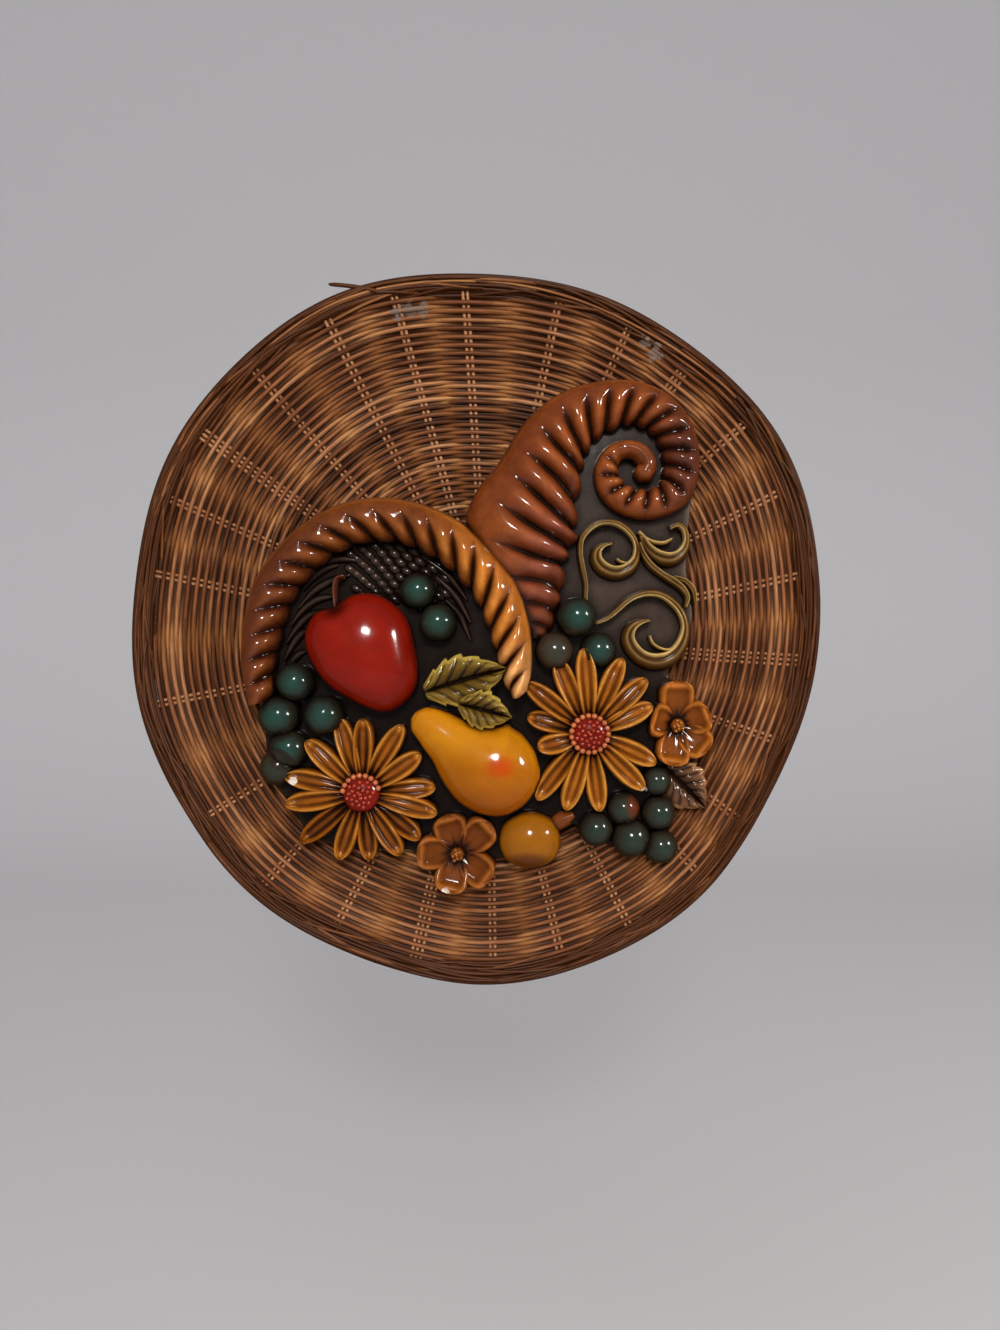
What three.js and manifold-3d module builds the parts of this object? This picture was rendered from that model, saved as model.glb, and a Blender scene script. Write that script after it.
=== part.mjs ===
// Cornucopia wall hanging: a glazed ceramic relief fixed on a round, slightly dished panel of
// woven reed. Millimetres, +Z up, the front looks along -Y, and the wall is the plane Y = 0.
// The origin is on the flat back, at the middle of the panel.

import * as THREE from 'three';
import { mergeVertices } from 'three/addons/utils/BufferGeometryUtils.js';
import Module from 'manifold-3d';

const wasm = await Module();
wasm.setup();

// Driving dimensions of the casting: its height, how far it stands out, and its ground
const castingHeight = 279;
const castingDepth = 34;
const groundThickness = 5;
const groundRounding = 1.4;

// Driving dimensions of the woven panel. The bare weave reaches past the casting all round, and
// the casting's edge lies some way up the slope of the dish.
const bareWeaveMargin = 29;
const slopeUnderCasting = 40;
const matThickness = 4.0;
const spokeRidgeHeight = 0.9;
const spokePairWidth = 6.0;
const rimRise = 17.5;
const borderWidth = 13;
const borderThickness = 6.4;
const borderTurns = 6;
const borderRidges = 3;
const borderLobeDepth = 0.16;

// The loose reed end: where it leaves the border, how it leans from there, and its size
const looseEndDirection = 115;
const looseEndLean = 79;
const looseEndDiameter = 1.9;
const looseEndLength = 19;
const looseEndTaper = 0.8;

// Clearance kept between pieces that touch
const seatGap = 0.3;

// Where the stakes cross, and how the panel's outline departs from a circle:
// [waves round the rim, height of the wave as a share of the radius, its crest in degrees]
const hubX = 6.2;
const hubZ = -6.0;
const outlineWaves = [
  [1, 0.0126, 97],
  [2, 0.0162, 178],
  [3, 0.0105, 87],
  [4, 0.0089, 112],
  [9, 0.0042, -79],
];
const spokeAngles = [
  11.6, 26.8, 40, 54, 65.6, 78.2, 93.7, 105.3, 116.6, 130.9, 144.2, 156.1, 168.8,
  191, 212.1, 227.5, 242.1, 257.2, 270.9, 283, 296.2, 312, 324.5, 340.7, 356.1,
];

const radians = THREE.MathUtils.degToRad;

// The casting is drawn flat: x to the right, y up and z out of its back. Places are in hundredths
// of its height, measured from the panel's middle, and levels are shares of its depth.
const share = castingHeight / 100;

// Outline of the dark ground that everything stands on
const groundOutline = [
  [-45.0, -2.2], [-44.6, 5.7], [-42.0, 12.0], [-38.0, 17.4], [-32.3, 22.0], [-25.9, 24.3],
  [-18.0, 24.7], [-9.2, 23.4], [-1.3, 21.0], [2.5, 22.6], [5.5, 29.3], [7.2, 36.0], [12.5, 43.4],
  [24.3, 47.8], [35.6, 46.0], [42.0, 39.8], [43.4, 32.0], [42.6, 26.7], [41.8, 20.0], [41.4, 14.0],
  [41.6, 8.6], [42.6, 3.0], [40.8, -3.2], [37.6, -8.8], [42.0, -13.0], [43.6, -21.0], [42.6, -28.0],
  [43.0, -33.4], [37.2, -35.0], [37.4, -43.0], [31.0, -43.8], [24.0, -41.8], [18.0, -38.4],
  [14.4, -42.6], [8.6, -45.6], [3.4, -45.4], [1.4, -49.0], [-4.4, -50.6], [-9.4, -47.8],
  [-12.4, -44.0], [-19.0, -43.6], [-27.0, -43.2], [-33.2, -40.4], [-37.0, -34.0], [-39.8, -30.6],
  [-41.6, -22.9], [-41.8, -17.0], [-43.8, -8.1],
];
const castingReach = share * Math.max(...groundOutline.map(([x, y]) => Math.hypot(x, y)));
const panelRadius = castingReach + bareWeaveMargin;
const flatFloorRadius = castingReach - slopeUnderCasting;

// A closed surface through a row of rings that all have the same number of points.
// Each end is closed by a fan to its middle, or to the point that is given for it.
function loft(rings, { loop = false, start, end } = {}) {
  const columns = rings[0].length;
  const points = rings.flat();
  const faces = [];
  const at = (row, column) => (row % rings.length) * columns + (column % columns);
  const spans = loop ? rings.length : rings.length - 1;
  for (let row = 0; row < spans; row += 1) {
    for (let column = 0; column < columns; column += 1) {
      faces.push(at(row, column), at(row + 1, column), at(row + 1, column + 1));
      faces.push(at(row, column), at(row + 1, column + 1), at(row, column + 1));
    }
  }
  if (!loop) {
    const middle = (ring) => ring.reduce((sum, p) => sum.add(p), new THREE.Vector3())
      .divideScalar(ring.length);
    const first = points.push(start ?? middle(rings[0])) - 1;
    const last = points.push(end ?? middle(rings[spans])) - 1;
    for (let column = 0; column < columns; column += 1) {
      faces.push(first, at(0, column), at(0, column + 1));
      faces.push(last, at(spans, column + 1), at(spans, column));
    }
  }
  const geometry = new THREE.BufferGeometry().setFromPoints(points);
  geometry.setIndex(faces);
  return geometry;
}

// Booleans: a three.js geometry as a solid, turned right side out, and back again
function enclosedVolume(geometry) {
  const position = geometry.attributes.position;
  const index = geometry.index.array;
  const a = new THREE.Vector3();
  const b = new THREE.Vector3();
  const c = new THREE.Vector3();
  let volume = 0;
  for (let i = 0; i < index.length; i += 3) {
    a.fromBufferAttribute(position, index[i]);
    b.fromBufferAttribute(position, index[i + 1]);
    c.fromBufferAttribute(position, index[i + 2]);
    volume += a.dot(b.cross(c)) / 6;
  }
  return volume;
}

function toSolid(geometry) {
  const bare = geometry.clone();
  bare.deleteAttribute('normal');
  bare.deleteAttribute('uv');
  const merged = mergeVertices(bare, 1e-4);
  const triVerts = Uint32Array.from(merged.index.array);
  if (enclosedVolume(merged) < 0) triVerts.reverse();
  const vertProperties = Float32Array.from(merged.attributes.position.array);
  return new wasm.Manifold(new wasm.Mesh({ numProp: 3, vertProperties, triVerts }));
}

function toGeometry(solid) {
  const mesh = solid.getMesh();
  const geometry = new THREE.BufferGeometry();
  geometry.setAttribute('position', new THREE.BufferAttribute(mesh.vertProperties, 3));
  geometry.setIndex(new THREE.BufferAttribute(mesh.triVerts, 1));
  geometry.computeVertexNormals();
  return geometry;
}

// The panel's outline and dish, seen from the front

const outlineRadius = (angle) => outlineWaves.reduce(
  (radius, [waves, size, crest]) => (
    radius + panelRadius * size * Math.cos(waves * angle - radians(crest))
  ),
  panelRadius,
);
const flatShare = flatFloorRadius / panelRadius;
const dishShare = (x, z) => Math.hypot(x, z) / outlineRadius(Math.atan2(z, x));
const dishRise = (share) => rimRise * (Math.max(0, share - flatShare) / (1 - flatShare)) ** 2;
const rimTilt = Math.atan2(2 * rimRise, panelRadius - flatFloorRadius);
const matFront = matThickness + spokeRidgeHeight;

// The border's section is an oval that lies along the slope of the rim
const borderReach = Math.hypot(
  borderWidth / 2 * Math.cos(rimTilt),
  borderThickness / 2 * Math.sin(rimTilt),
);
const matEdgeInset = 2 * borderReach + seatGap;

// Distance from the hub to the mat's edge in a direction, found step by step
const reachSteps = 12;
function matReach(angle) {
  let reach = panelRadius;
  for (let step = 0; step < reachSteps; step += 1) {
    const x = hubX + reach * Math.cos(angle);
    const z = hubZ + reach * Math.sin(angle);
    const edge = outlineRadius(Math.atan2(z, x)) - matEdgeInset;
    reach += edge - Math.hypot(x, z);
  }
  return reach;
}

// The mat's rings, as shares of the way from the hub to its edge, and the share of that way that
// the pair of stakes at a spoke takes to open to its full width
const frontRings = [0.2, 0.62, 0.7, 0.78, 0.86, 0.93, 1];
const backRings = [1, 0.82];
const flatBackShare = 0.62;
const spokeSpread = 0.09;

function wovenMat() {
  const rims = spokeAngles.map((degrees, i) => {
    const next = spokeAngles[(i + 1) % spokeAngles.length] + (i + 1 === spokeAngles.length ? 360 : 0);
    return [radians(degrees), radians((degrees + next) / 2)];
  });
  const frontRing = (share) => rims.flatMap(([spoke, gap]) => {
    const reach = matReach(spoke) * share;
    const sideways = Math.min(spokePairWidth / 2, reach * spokeSpread);
    const points = [-1, 1].map((side) => new THREE.Vector3(
      hubX + reach * Math.cos(spoke) - side * sideways * Math.sin(spoke),
      spokeRidgeHeight,
      hubZ + reach * Math.sin(spoke) + side * sideways * Math.cos(spoke),
    ));
    const gapReach = matReach(gap) * share;
    points.push(new THREE.Vector3(
      hubX + gapReach * Math.cos(gap),
      0,
      hubZ + gapReach * Math.sin(gap),
    ));
    return points;
  });
  const place = (point, height) => new THREE.Vector3(
    point.x,
    -(dishRise(dishShare(point.x, point.z)) + height),
    point.z,
  );
  const front = frontRings.map((share) => frontRing(share).map((p) => place(p, matThickness + p.y)));
  const back = backRings.map((share) => frontRing(share).map((p) => place(p, 0)));
  const flatBack = frontRing(flatBackShare).map((p) => new THREE.Vector3(p.x, 0, p.z));
  const middle = new THREE.Vector3(hubX, -matFront, hubZ);
  return loft([...front, ...back, flatBack], {
    start: middle,
    end: new THREE.Vector3(hubX, 0, hubZ),
  });
}

// The border: an oval bundle that turns as it runs round, so that its ridges lie aslant
const stepsPerTurn = 12;

function wovenBorder() {
  const steps = borderTurns * stepsPerTurn;
  const columns = borderRidges * 2;
  const rings = [];
  for (let step = 0; step < steps; step += 1) {
    const angle = 2 * Math.PI * step / steps;
    const radius = outlineRadius(angle) - borderReach;
    const share = radius / outlineRadius(angle);
    const height = dishRise(share) + matThickness / 2 + spokeRidgeHeight;
    const ring = [];
    for (let column = 0; column < columns; column += 1) {
      const turn = 2 * Math.PI * (column / columns + borderTurns * step / steps);
      const lobe = column % 2 === 0 ? 1 : 1 - borderLobeDepth;
      const along = borderWidth / 2 * Math.cos(turn) * lobe;
      const out = borderThickness / 2 * Math.sin(turn) * lobe;
      const r = radius + along * Math.cos(rimTilt) - out * Math.sin(rimTilt);
      const h = height + along * Math.sin(rimTilt) + out * Math.cos(rimTilt);
      ring.push(new THREE.Vector3(r * Math.cos(angle), -h, r * Math.sin(angle)));
    }
    rings.push(ring);
  }
  const bundle = toSolid(loft(rings, { loop: true }));
  return toGeometry(bundle.add(toSolid(looseEnd())));
}

// One reed's end has sprung out of the border at the upper left
function looseEnd() {
  const direction = radians(looseEndDirection);
  const radius = outlineRadius(direction) - borderReach + looseEndDiameter / 2;
  const height = dishRise(1) + matThickness / 2 + spokeRidgeHeight;
  const start = new THREE.Vector3(radius * Math.cos(direction), -height, radius * Math.sin(direction));
  const lean = direction + radians(looseEndLean);
  const end = start.clone().add(new THREE.Vector3(Math.cos(lean), 0, Math.sin(lean))
    .multiplyScalar(looseEndLength));
  const sides = 6;
  const ringAt = (centre, size) => Array.from({ length: sides }, (_, i) => {
    const turn = 2 * Math.PI * i / sides;
    const across = Math.cos(turn) * size;
    return new THREE.Vector3(
      centre.x - Math.sin(lean) * across,
      centre.y + Math.sin(turn) * size,
      centre.z + Math.cos(lean) * across,
    );
  });
  const thick = looseEndDiameter / 2;
  return loft([ringAt(start, thick), ringAt(end, thick * looseEndTaper)]);
}

// The casting's parts all reach down to one plane, and their backs are cut off together later
const below = -(matFront + seatGap) - rimRise;

const flat = (x, y, z) => new THREE.Vector3(x * share, y * share, z);

// A smooth line through [x, y, half width] with the width carried along
function ribbon(points, closed = false) {
  return new THREE.CatmullRomCurve3(
    points.map(([x, y, width = 0]) => new THREE.Vector3(x, y, width)),
    closed,
    'centripetal',
  );
}

// Stations along a line, closer together where it is narrow
const ribCrowding = 0.55;
const fine = 600;
function stations(path, rows) {
  const sums = [0];
  for (let i = 0; i < fine; i += 1) {
    sums.push(sums[i] + path.getPointAt((i + 0.5) / fine).z ** -ribCrowding);
  }
  return Array.from({ length: rows + 1 }, (_, row) => {
    const wanted = sums[fine] * row / rows;
    return Math.max(0, sums.findIndex((sum) => sum >= wanted - 1e-9)) / fine;
  });
}

// A rounded bar along a line. Ribs run across it aslant: `slant` is how far a rib's right end
// lags behind, as a share of the half width. `top` gives the crest's level from the half width and
// from how far along the line it is.
const grooveNarrowing = 0.35;

function bar({ line, base, top, rows, columns, groove = 0, slant = 0, smoothSide = 0 }) {
  const path = ribbon(line);
  path.arcLengthDivisions = fine;
  const length = path.getLength();
  const rings = [];
  for (const [row, station] of stations(path, rows).entries()) {
    const ring = [];
    const cut = row % 2 === 0 ? groove : 0;
    const halfWidth = path.getPointAt(station).z;
    for (let column = 0; column <= columns; column += 1) {
      const turn = Math.PI * column / columns;
      const across = Math.cos(turn);
      const shift = -slant * across * halfWidth / length;
      const u = THREE.MathUtils.clamp(station + shift, 0, 1);
      const centre = path.getPointAt(u);
      const along = path.getTangentAt(u).setZ(0).normalize();
      const depth = cut * THREE.MathUtils.clamp(1 + smoothSide * across, 0, 1);
      const width = centre.z * across * (1 - depth * grooveNarrowing);
      const height = (top(centre.z, u) - base) * Math.sin(turn) * (1 - depth);
      ring.push(flat(
        centre.x + along.y * width,
        centre.y - along.x * width,
        (base + height) * castingDepth,
      ));
    }
    const right = ring[0];
    const left = ring[columns];
    ring.push(new THREE.Vector3(left.x, left.y, below));
    ring.push(new THREE.Vector3(right.x, right.y, below));
    rings.push(ring);
  }
  return loft(rings);
}

// A dome over an outline that is given by points, such as a fruit or a petal's button
function dome({ outline, centre, base, top, segments, rings }) {
  const edge = ribbon(outline, true).getSpacedPoints(segments).slice(0, segments);
  const ringAt = (size, z) => edge.map((p) => flat(
    centre[0] + (p.x - centre[0]) * size,
    centre[1] + (p.y - centre[1]) * size,
    z,
  ));
  const layers = [ringAt(1, below)];
  for (let ring = 0; ring < rings; ring += 1) {
    const turn = Math.PI / 2 * ring / rings;
    layers.push(ringAt(Math.cos(turn), (base + (top - base) * Math.sin(turn)) * castingDepth));
  }
  return loft(layers, { end: flat(centre[0], centre[1], top * castingDepth) });
}

const roundOutline = (x, y, radius) => [0, 60, 120, 180, 240, 300].map((degrees) => [
  x + radius * Math.cos(radians(degrees)),
  y + radius * Math.sin(radians(degrees)),
]);

// A grape is a ball that is sunk to a little below its middle
function grape([x, y, radius, base]) {
  return dome({
    outline: roundOutline(x, y, radius),
    centre: [x, y],
    base,
    top: base + radius * share / castingDepth,
    segments: 9,
    rings: 2,
  });
}

// A blade runs out from a root: a petal, or a leaf. `profile` gives [share of its length, share of
// its width], and `section` gives [share of the half width, share of the relief] across it.
function blade({ root, degrees, from, to, width, rootLevel, tipLevel, profile, section, relief }) {
  const angle = radians(degrees);
  const rings = profile.map(([along, wide]) => {
    const reach = from + (to - from) * along;
    const z = rootLevel + (tipLevel - rootLevel) * along;
    const lift = relief * wide;
    const ring = section.map(([across, up]) => flat(
      root[0] + reach * Math.cos(angle) - across * wide * width / 2 * Math.sin(angle),
      root[1] + reach * Math.sin(angle) + across * wide * width / 2 * Math.cos(angle),
      (z + lift * up) * castingDepth,
    ));
    const [first, last] = [ring[0], ring[section.length - 1]];
    ring.push(new THREE.Vector3(last.x, last.y, below));
    ring.push(new THREE.Vector3(first.x, first.y, below));
    return ring;
  });
  return loft(rings);
}

const groundPoints = 72;

function ground() {
  const edge = ribbon(groundOutline, true).getSpacedPoints(groundPoints).slice(0, groundPoints);
  const shape = new THREE.Shape(edge.map((p) => new THREE.Vector2(p.x * share, p.y * share)));
  const slab = new THREE.ExtrudeGeometry(shape, {
    depth: groundThickness - below - 2 * groundRounding,
    bevelEnabled: true,
    bevelThickness: groundRounding,
    bevelSize: groundRounding,
    bevelOffset: -groundRounding,
    bevelSegments: 1,
  });
  slab.translate(0, 0, below + groundRounding);
  return slab;
}

// The horn: [x, y, half width] from under the mouth ring round to the tip of the curl
const hornLine = [
  [12.2, -2.0, 2.0], [11.7, 1.6, 4.2], [10.4, 7.0, 7.2], [8.8, 13.0, 9.6], [9.1, 20.2, 11.2],
  [12.2, 29.0, 8.7], [15.4, 36.6, 7.1], [20.6, 41.6, 5.8], [29.4, 44.1, 4.5], [35.4, 42.2, 4.1],
  [38.9, 37.7, 3.9], [40.0, 31.5, 3.7], [38.6, 26.8, 3.5], [35.0, 24.6, 3.2], [30.2, 24.9, 2.8],
  [27.2, 27.6, 2.5], [26.4, 31.2, 2.3], [28.4, 34.0, 2.1], [30.6, 34.6, 1.7],
];
const hornTop = 0.92;
const hornThinTop = 0.4;
const hornFoot = { share: 0.62, from: 0.03, to: 0.2 };
const hornTip = { centre: [31.7, 32.6], radius: 2.5, base: 0.3, top: 0.5 };
const hornRibs = 24;

// The mouth ring, from its lower left end over the top to its lower right end
const ringLine = [
  [-41.4, -14.6, 2.9], [-42.3, -7.1, 3.4], [-41.7, -1.3, 3.9], [-39.6, 7.0, 4.3], [-35.3, 13.2, 4.4],
  [-29.0, 18.4, 4.4], [-21.7, 21.0, 4.4], [-13.9, 20.7, 4.4], [-7.1, 18.0, 4.5], [-0.9, 13.5, 4.6],
  [4.0, 7.1, 4.5], [6.3, 0.7, 4.2], [7.4, -5.2, 3.7], [7.8, -10.4, 2.7],
];
const ringTop = 0.78;
const ringArm = { top: 0.92, from: 0.52, to: 0.72 };
const ringLobes = 20;

// Level at which the horn and the ring leave the ground, and how the crests fall as they thin
const barBase = 0.2;
const thinning = 0.7;

// Scrolls: bands that curl inwards, as [x, y, half width], and the thin hooks that end inside them
const scrollTop = 0.44;
const hookTop = 0.38;
const scrollLines = [
  [[21.1, 4.8, 0.5], [21.3, 8.4, 0.5], [20.7, 11.7, 0.6], [20.2, 14.8, 0.6], [20.5, 17.6, 0.7],
    [21.9, 19.4, 0.7], [23.8, 20.6, 0.7], [26.0, 20.9, 0.7], [28.2, 20.3, 0.8], [30.1, 18.8, 0.8],
    [31.3, 16.8, 0.8], [31.5, 14.4, 1.0], [30.5, 12.3, 1.3], [28.7, 11.1, 1.5], [26.6, 10.9, 1.5],
    [24.5, 11.9, 1.5], [23.4, 13.6, 1.3], [23.6, 15.3, 1.0], [24.8, 16.3, 0.6], [26.4, 16.7, 0.3]],
  [[32.1, 18.0, 0.7], [33.2, 15.8, 1.2], [35.4, 14.0, 1.5], [38.0, 13.5, 1.5], [40.1, 14.6, 1.2],
    [41.2, 17.0, 0.9], [40.8, 19.3, 0.8], [39.4, 20.4, 0.6], [37.8, 19.7, 0.4]],
  [[31.6, 16.6, 0.5], [32.5, 14.4, 0.6], [34.0, 12.3, 0.7], [36.2, 10.5, 0.7], [38.3, 9.2, 0.8],
    [40.1, 7.8, 0.7], [41.1, 6.0, 0.5], [40.7, 4.2, 0.3]],
  [[38.5, 9.9, 0.5], [40.7, 9.1, 0.6], [42.2, 7.4, 0.6], [42.6, 5.0, 0.3]],
  [[23.2, 1.1, 0.4], [25.4, 2.0, 0.5], [27.4, 3.6, 0.6], [29.1, 5.2, 0.7], [31.1, 6.4, 0.7],
    [33.4, 7.0, 0.8], [36.0, 6.7, 0.8], [38.1, 5.5, 0.9], [39.9, 3.6, 1.0], [40.9, 0.9, 1.0],
    [40.7, -1.8, 1.3], [39.4, -4.4, 1.6], [37.3, -6.1, 1.8], [34.6, -6.5, 1.8], [32.2, -5.7, 1.7],
    [30.3, -3.8, 1.6], [29.6, -1.6, 1.4], [30.3, 0.2, 1.1], [31.9, 1.3, 0.7], [33.8, 1.7, 0.3]],
];
const hookLines = [
  [[30.9, 15.2, 0.4], [30.6, 13.6, 0.4], [29.5, 12.8, 0.4], [28.2, 13.0, 0.4], [27.4, 13.6, 0.3]],
  [[31.7, 18.9, 0.5], [33.2, 17.5, 0.5], [35.2, 16.8, 0.5], [36.8, 16.8, 0.5], [38.1, 17.5, 0.3]],
  [[40.1, -1.1, 0.4], [39.2, -3.1, 0.4], [37.6, -4.1, 0.4], [35.8, -3.8, 0.4], [34.4, -2.8, 0.4],
    [33.8, -1.4, 0.3]],
];

// Fruit: the apple's outline, the pear's middle line and the small round fruit
const apple = { centre: [-22.4, -4.4], base: 0.4, top: 1 };
const pear = { base: 0.4, top: 0.97 };
const smallFruit = { centre: [10.4, -41.3], base: 0.3, top: 0.66 };
const stemTop = 0.5;
const stubTop = 0.36;
const appleOutline = [
  [-33.2, -2.3], [-31.4, 2.6], [-27.3, 4.6], [-23.4, 6.6], [-18.8, 6.4], [-13.8, 2.4], [-12.0, -3.7],
  [-11.6, -11.0], [-14.4, -14.8], [-17.8, -16.2], [-24.4, -13.8], [-30.0, -9.5],
];
const pearLine = [
  [-12.2, -17.0, 0.9], [-11.2, -17.6, 2.6], [-8.6, -19.2, 3.9], [-5.2, -21.8, 5.2], [-1.6, -24.6, 7.4],
  [1.6, -26.6, 8.8], [4.6, -27.6, 9.0], [8.0, -28.0, 7.6], [10.8, -28.2, 4.8], [12.3, -28.3, 1.2],
];
const smallFruitOutline = [
  [16.4, -41.3], [15.0, -37.6], [10.4, -35.8], [5.9, -37.6], [4.4, -41.3], [5.9, -45.2],
  [10.4, -46.8], [15.0, -45.2],
];
const fruitStub = [[14.6, -38.8, 1.4], [17.0, -37.4, 1.6], [19.0, -36.4, 0.8]];
const appleStem = [[-27.2, 3.4, 0.45], [-27.6, 7.0, 0.45], [-27.2, 9.6, 0.5], [-25.8, 10.2, 0.4]];

// Grapes: [x, y, radius, level of the middle]
const grapes = [
  [-11.4, 7.3, 3.5, 0.34], [-7.5, 1.1, 3.7, 0.36],
  [-35.2, -10.5, 3.8, 0.38], [-38.4, -17.1, 4.1, 0.36], [-29.6, -16.9, 3.9, 0.38],
  [-36.4, -23.4, 3.8, 0.34], [-38.8, -27.2, 3.7, 0.24],
  [19.5, 2.2, 3.9, 0.42], [15.2, -4.4, 3.8, 0.34], [23.8, -4.2, 3.6, 0.3],
  [35.1, -29.8, 2.9, 0.3], [28.7, -35.1, 3.2, 0.32], [35.5, -36.0, 3.3, 0.32],
  [23.4, -39.2, 3.4, 0.28], [30.2, -40.9, 3.8, 0.3], [36.0, -42.6, 3.4, 0.28],
];

// Daisies: petals as [direction in degrees, reach from the middle]
const daisies = [
  {
    centre: [-22.1, -31.9],
    petals: [
      [4, 14.3], [32, 13.7], [61, 15.3], [88, 14.4], [108, 15.1], [138, 14.8], [166, 15.3], [190, 15],
      [218, 15.3], [250, 13.6], [278, 13.2], [300, 14.2], [322, 14.4], [345, 15.1],
    ],
  },
  {
    centre: [21.9, -20.4],
    petals: [
      [22, 13.5], [44, 15.4], [67, 16], [92, 16.6], [115, 16], [141, 15.7], [164, 12.4], [198, 10.4],
      [230, 16.4], [254, 15.5], [278, 15.3], [313, 15.1], [338, 14.2],
    ],
  },
];
const daisyButton = { radius: 3.7, base: 0.52, top: 0.72 };
const petalWidth = 4.7;
const petalLevels = [0.42, 0.4];
const petalStagger = 0.05;

// Small flowers: broad petals round a button, as [direction in degrees, reach from the middle]
const smallFlowers = [
  { centre: [-3.7, -44.0], petals: [[105, 8.0], [42, 8.9], [-38, 8.1], [-103, 7.6], [178, 7.9]] },
  { centre: [39.2, -18.9], petals: [[90, 8.8], [20, 6.6], [-41, 7.5], [-98, 7.9], [164, 5.4]] },
];
const smallButton = { radius: 1.5, base: 0.4, top: 0.48 };
const broadPetalWidth = 7.0;
const broadPetalLevels = [0.3, 0.4];

// Leaves: [root, direction in degrees, length, width, levels at the root and the tip]
const leaves = [
  { root: [-9.8, -12.4], degrees: 19, to: 16.6, width: 9.0, rootLevel: 0.5, tipLevel: 0.66 },
  { root: [-3.2, -14.6], degrees: -14, to: 10.4, width: 6.8, rootLevel: 0.62, tipLevel: 0.8 },
  { root: [37.0, -27.2], degrees: -45, to: 11.2, width: 9.2, rootLevel: 0.3, tipLevel: 0.24 },
];

const petalProfile = [[0, 0.42], [0.5, 0.98], [0.86, 0.86], [1, 0.24]];
const petalSection = [[-1, 0.7], [0, -0.3], [1, 0.7]];
const petalRelief = 0.1;
const leafProfile = [[0, 0.3], [0.22, 0.85], [0.5, 1], [0.78, 0.7], [1, 0.12]];
const leafSection = [[-1, 0.1], [-0.5, 0.9], [0, -0.1], [0.5, 0.9], [1, 0.1]];
const leafRelief = 0.08;
const broadProfile = [[0, 0.3], [0.6, 1], [0.92, 0.8], [1, 0.4]];

function hornParts() {
  const widest = Math.max(...hornLine.map(([, , width]) => width));
  const { smoothstep, lerp } = THREE.MathUtils;
  const horn = bar({
    line: hornLine,
    base: barBase,
    top: (width, along) => lerp(hornThinTop, hornTop, (width / widest) ** thinning)
      * lerp(hornFoot.share, 1, smoothstep(along, hornFoot.from, hornFoot.to)),
    rows: hornRibs * 2,
    columns: 6,
    groove: 0.24,
    slant: 0.5,
    smoothSide: 0.7,
  });
  const tip = dome({
    ...hornTip,
    outline: roundOutline(...hornTip.centre, hornTip.radius),
    segments: 10,
    rings: 2,
  });
  const ring = bar({
    line: ringLine,
    base: barBase,
    top: (width, along) => lerp(ringTop, ringArm.top, smoothstep(along, ringArm.from, ringArm.to)),
    rows: ringLobes * 2,
    columns: 6,
    groove: 0.26,
    slant: -0.8,
    smoothSide: 0.3,
  });
  return [horn, tip, ring];
}

function scrollParts() {
  const curl = (line, top, columns) => bar({
    line,
    base: barBase,
    top: () => top,
    rows: line.length - 1,
    columns,
  });
  return [
    ...scrollLines.map((line) => curl(line, scrollTop, 3)),
    ...hookLines.map((line) => curl(line, hookTop, 2)),
  ];
}

function fruitParts() {
  const widest = Math.max(...pearLine.map(([, , width]) => width));
  return [
    dome({ ...apple, outline: appleOutline, segments: 18, rings: 4 }),
    bar({ line: appleStem, base: barBase, top: () => stemTop, rows: 5, columns: 3 }),
    bar({
      line: pearLine,
      base: pear.base,
      top: (width) => pear.base + (pear.top - pear.base) * (width / widest) ** thinning,
      rows: 12,
      columns: 8,
    }),
    dome({ ...smallFruit, outline: smallFruitOutline, segments: 14, rings: 3 }),
    bar({ line: fruitStub, base: barBase, top: () => stubTop, rows: 3, columns: 3 }),
    ...grapes.map(grape),
  ];
}

function daisyParts({ centre, petals }) {
  const blades = petals.map(([degrees, reach], i) => blade({
    root: centre,
    degrees,
    from: daisyButton.radius * 0.7,
    to: reach,
    width: petalWidth,
    rootLevel: petalLevels[0] + (i % 2) * petalStagger,
    tipLevel: petalLevels[1] + (i % 2) * petalStagger,
    profile: petalProfile,
    section: petalSection,
    relief: petalRelief,
  }));
  const outline = roundOutline(...centre, daisyButton.radius);
  return [...blades, dome({ ...daisyButton, centre, outline, segments: 12, rings: 2 })];
}

function smallFlowerParts({ centre, petals }) {
  const blades = petals.map(([degrees, reach]) => blade({
    root: centre,
    degrees,
    from: smallButton.radius / 2,
    to: reach,
    width: broadPetalWidth,
    rootLevel: broadPetalLevels[0],
    tipLevel: broadPetalLevels[1],
    profile: broadProfile,
    section: petalSection,
    relief: petalRelief,
  }));
  const outline = roundOutline(...centre, smallButton.radius);
  return [...blades, dome({ ...smallButton, centre, outline, segments: 8, rings: 2 })];
}

const leafPart = (leaf) => blade({
  ...leaf,
  from: 0,
  profile: leafProfile,
  section: leafSection,
  relief: leafRelief,
});

const castingParts = () => [
  ground(),
  ...hornParts(),
  ...scrollParts(),
  ...fruitParts(),
  ...daisies.flatMap(daisyParts),
  ...smallFlowers.flatMap(smallFlowerParts),
  ...leaves.map(leafPart),
];

// What the casting's back has to clear: the dished front of the mat, and everything behind it
function behindCasting() {
  const shares = [flatShare * 0.5, flatShare, 0.72, 0.8, 0.88, 0.96];
  const around = 60;
  const ringAt = (ringShare, z) => Array.from({ length: around }, (_, i) => {
    const angle = 2 * Math.PI * i / around;
    const radius = outlineRadius(angle) * ringShare;
    return new THREE.Vector3(radius * Math.cos(angle), radius * Math.sin(angle), z);
  });
  const rings = shares.map((ringShare) => ringAt(ringShare, dishRise(ringShare)));
  const deep = 4 * below;
  rings.push(ringAt(shares.at(-1), deep));
  rings.push(ringAt(shares[0], deep));
  return loft(rings);
}

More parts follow.
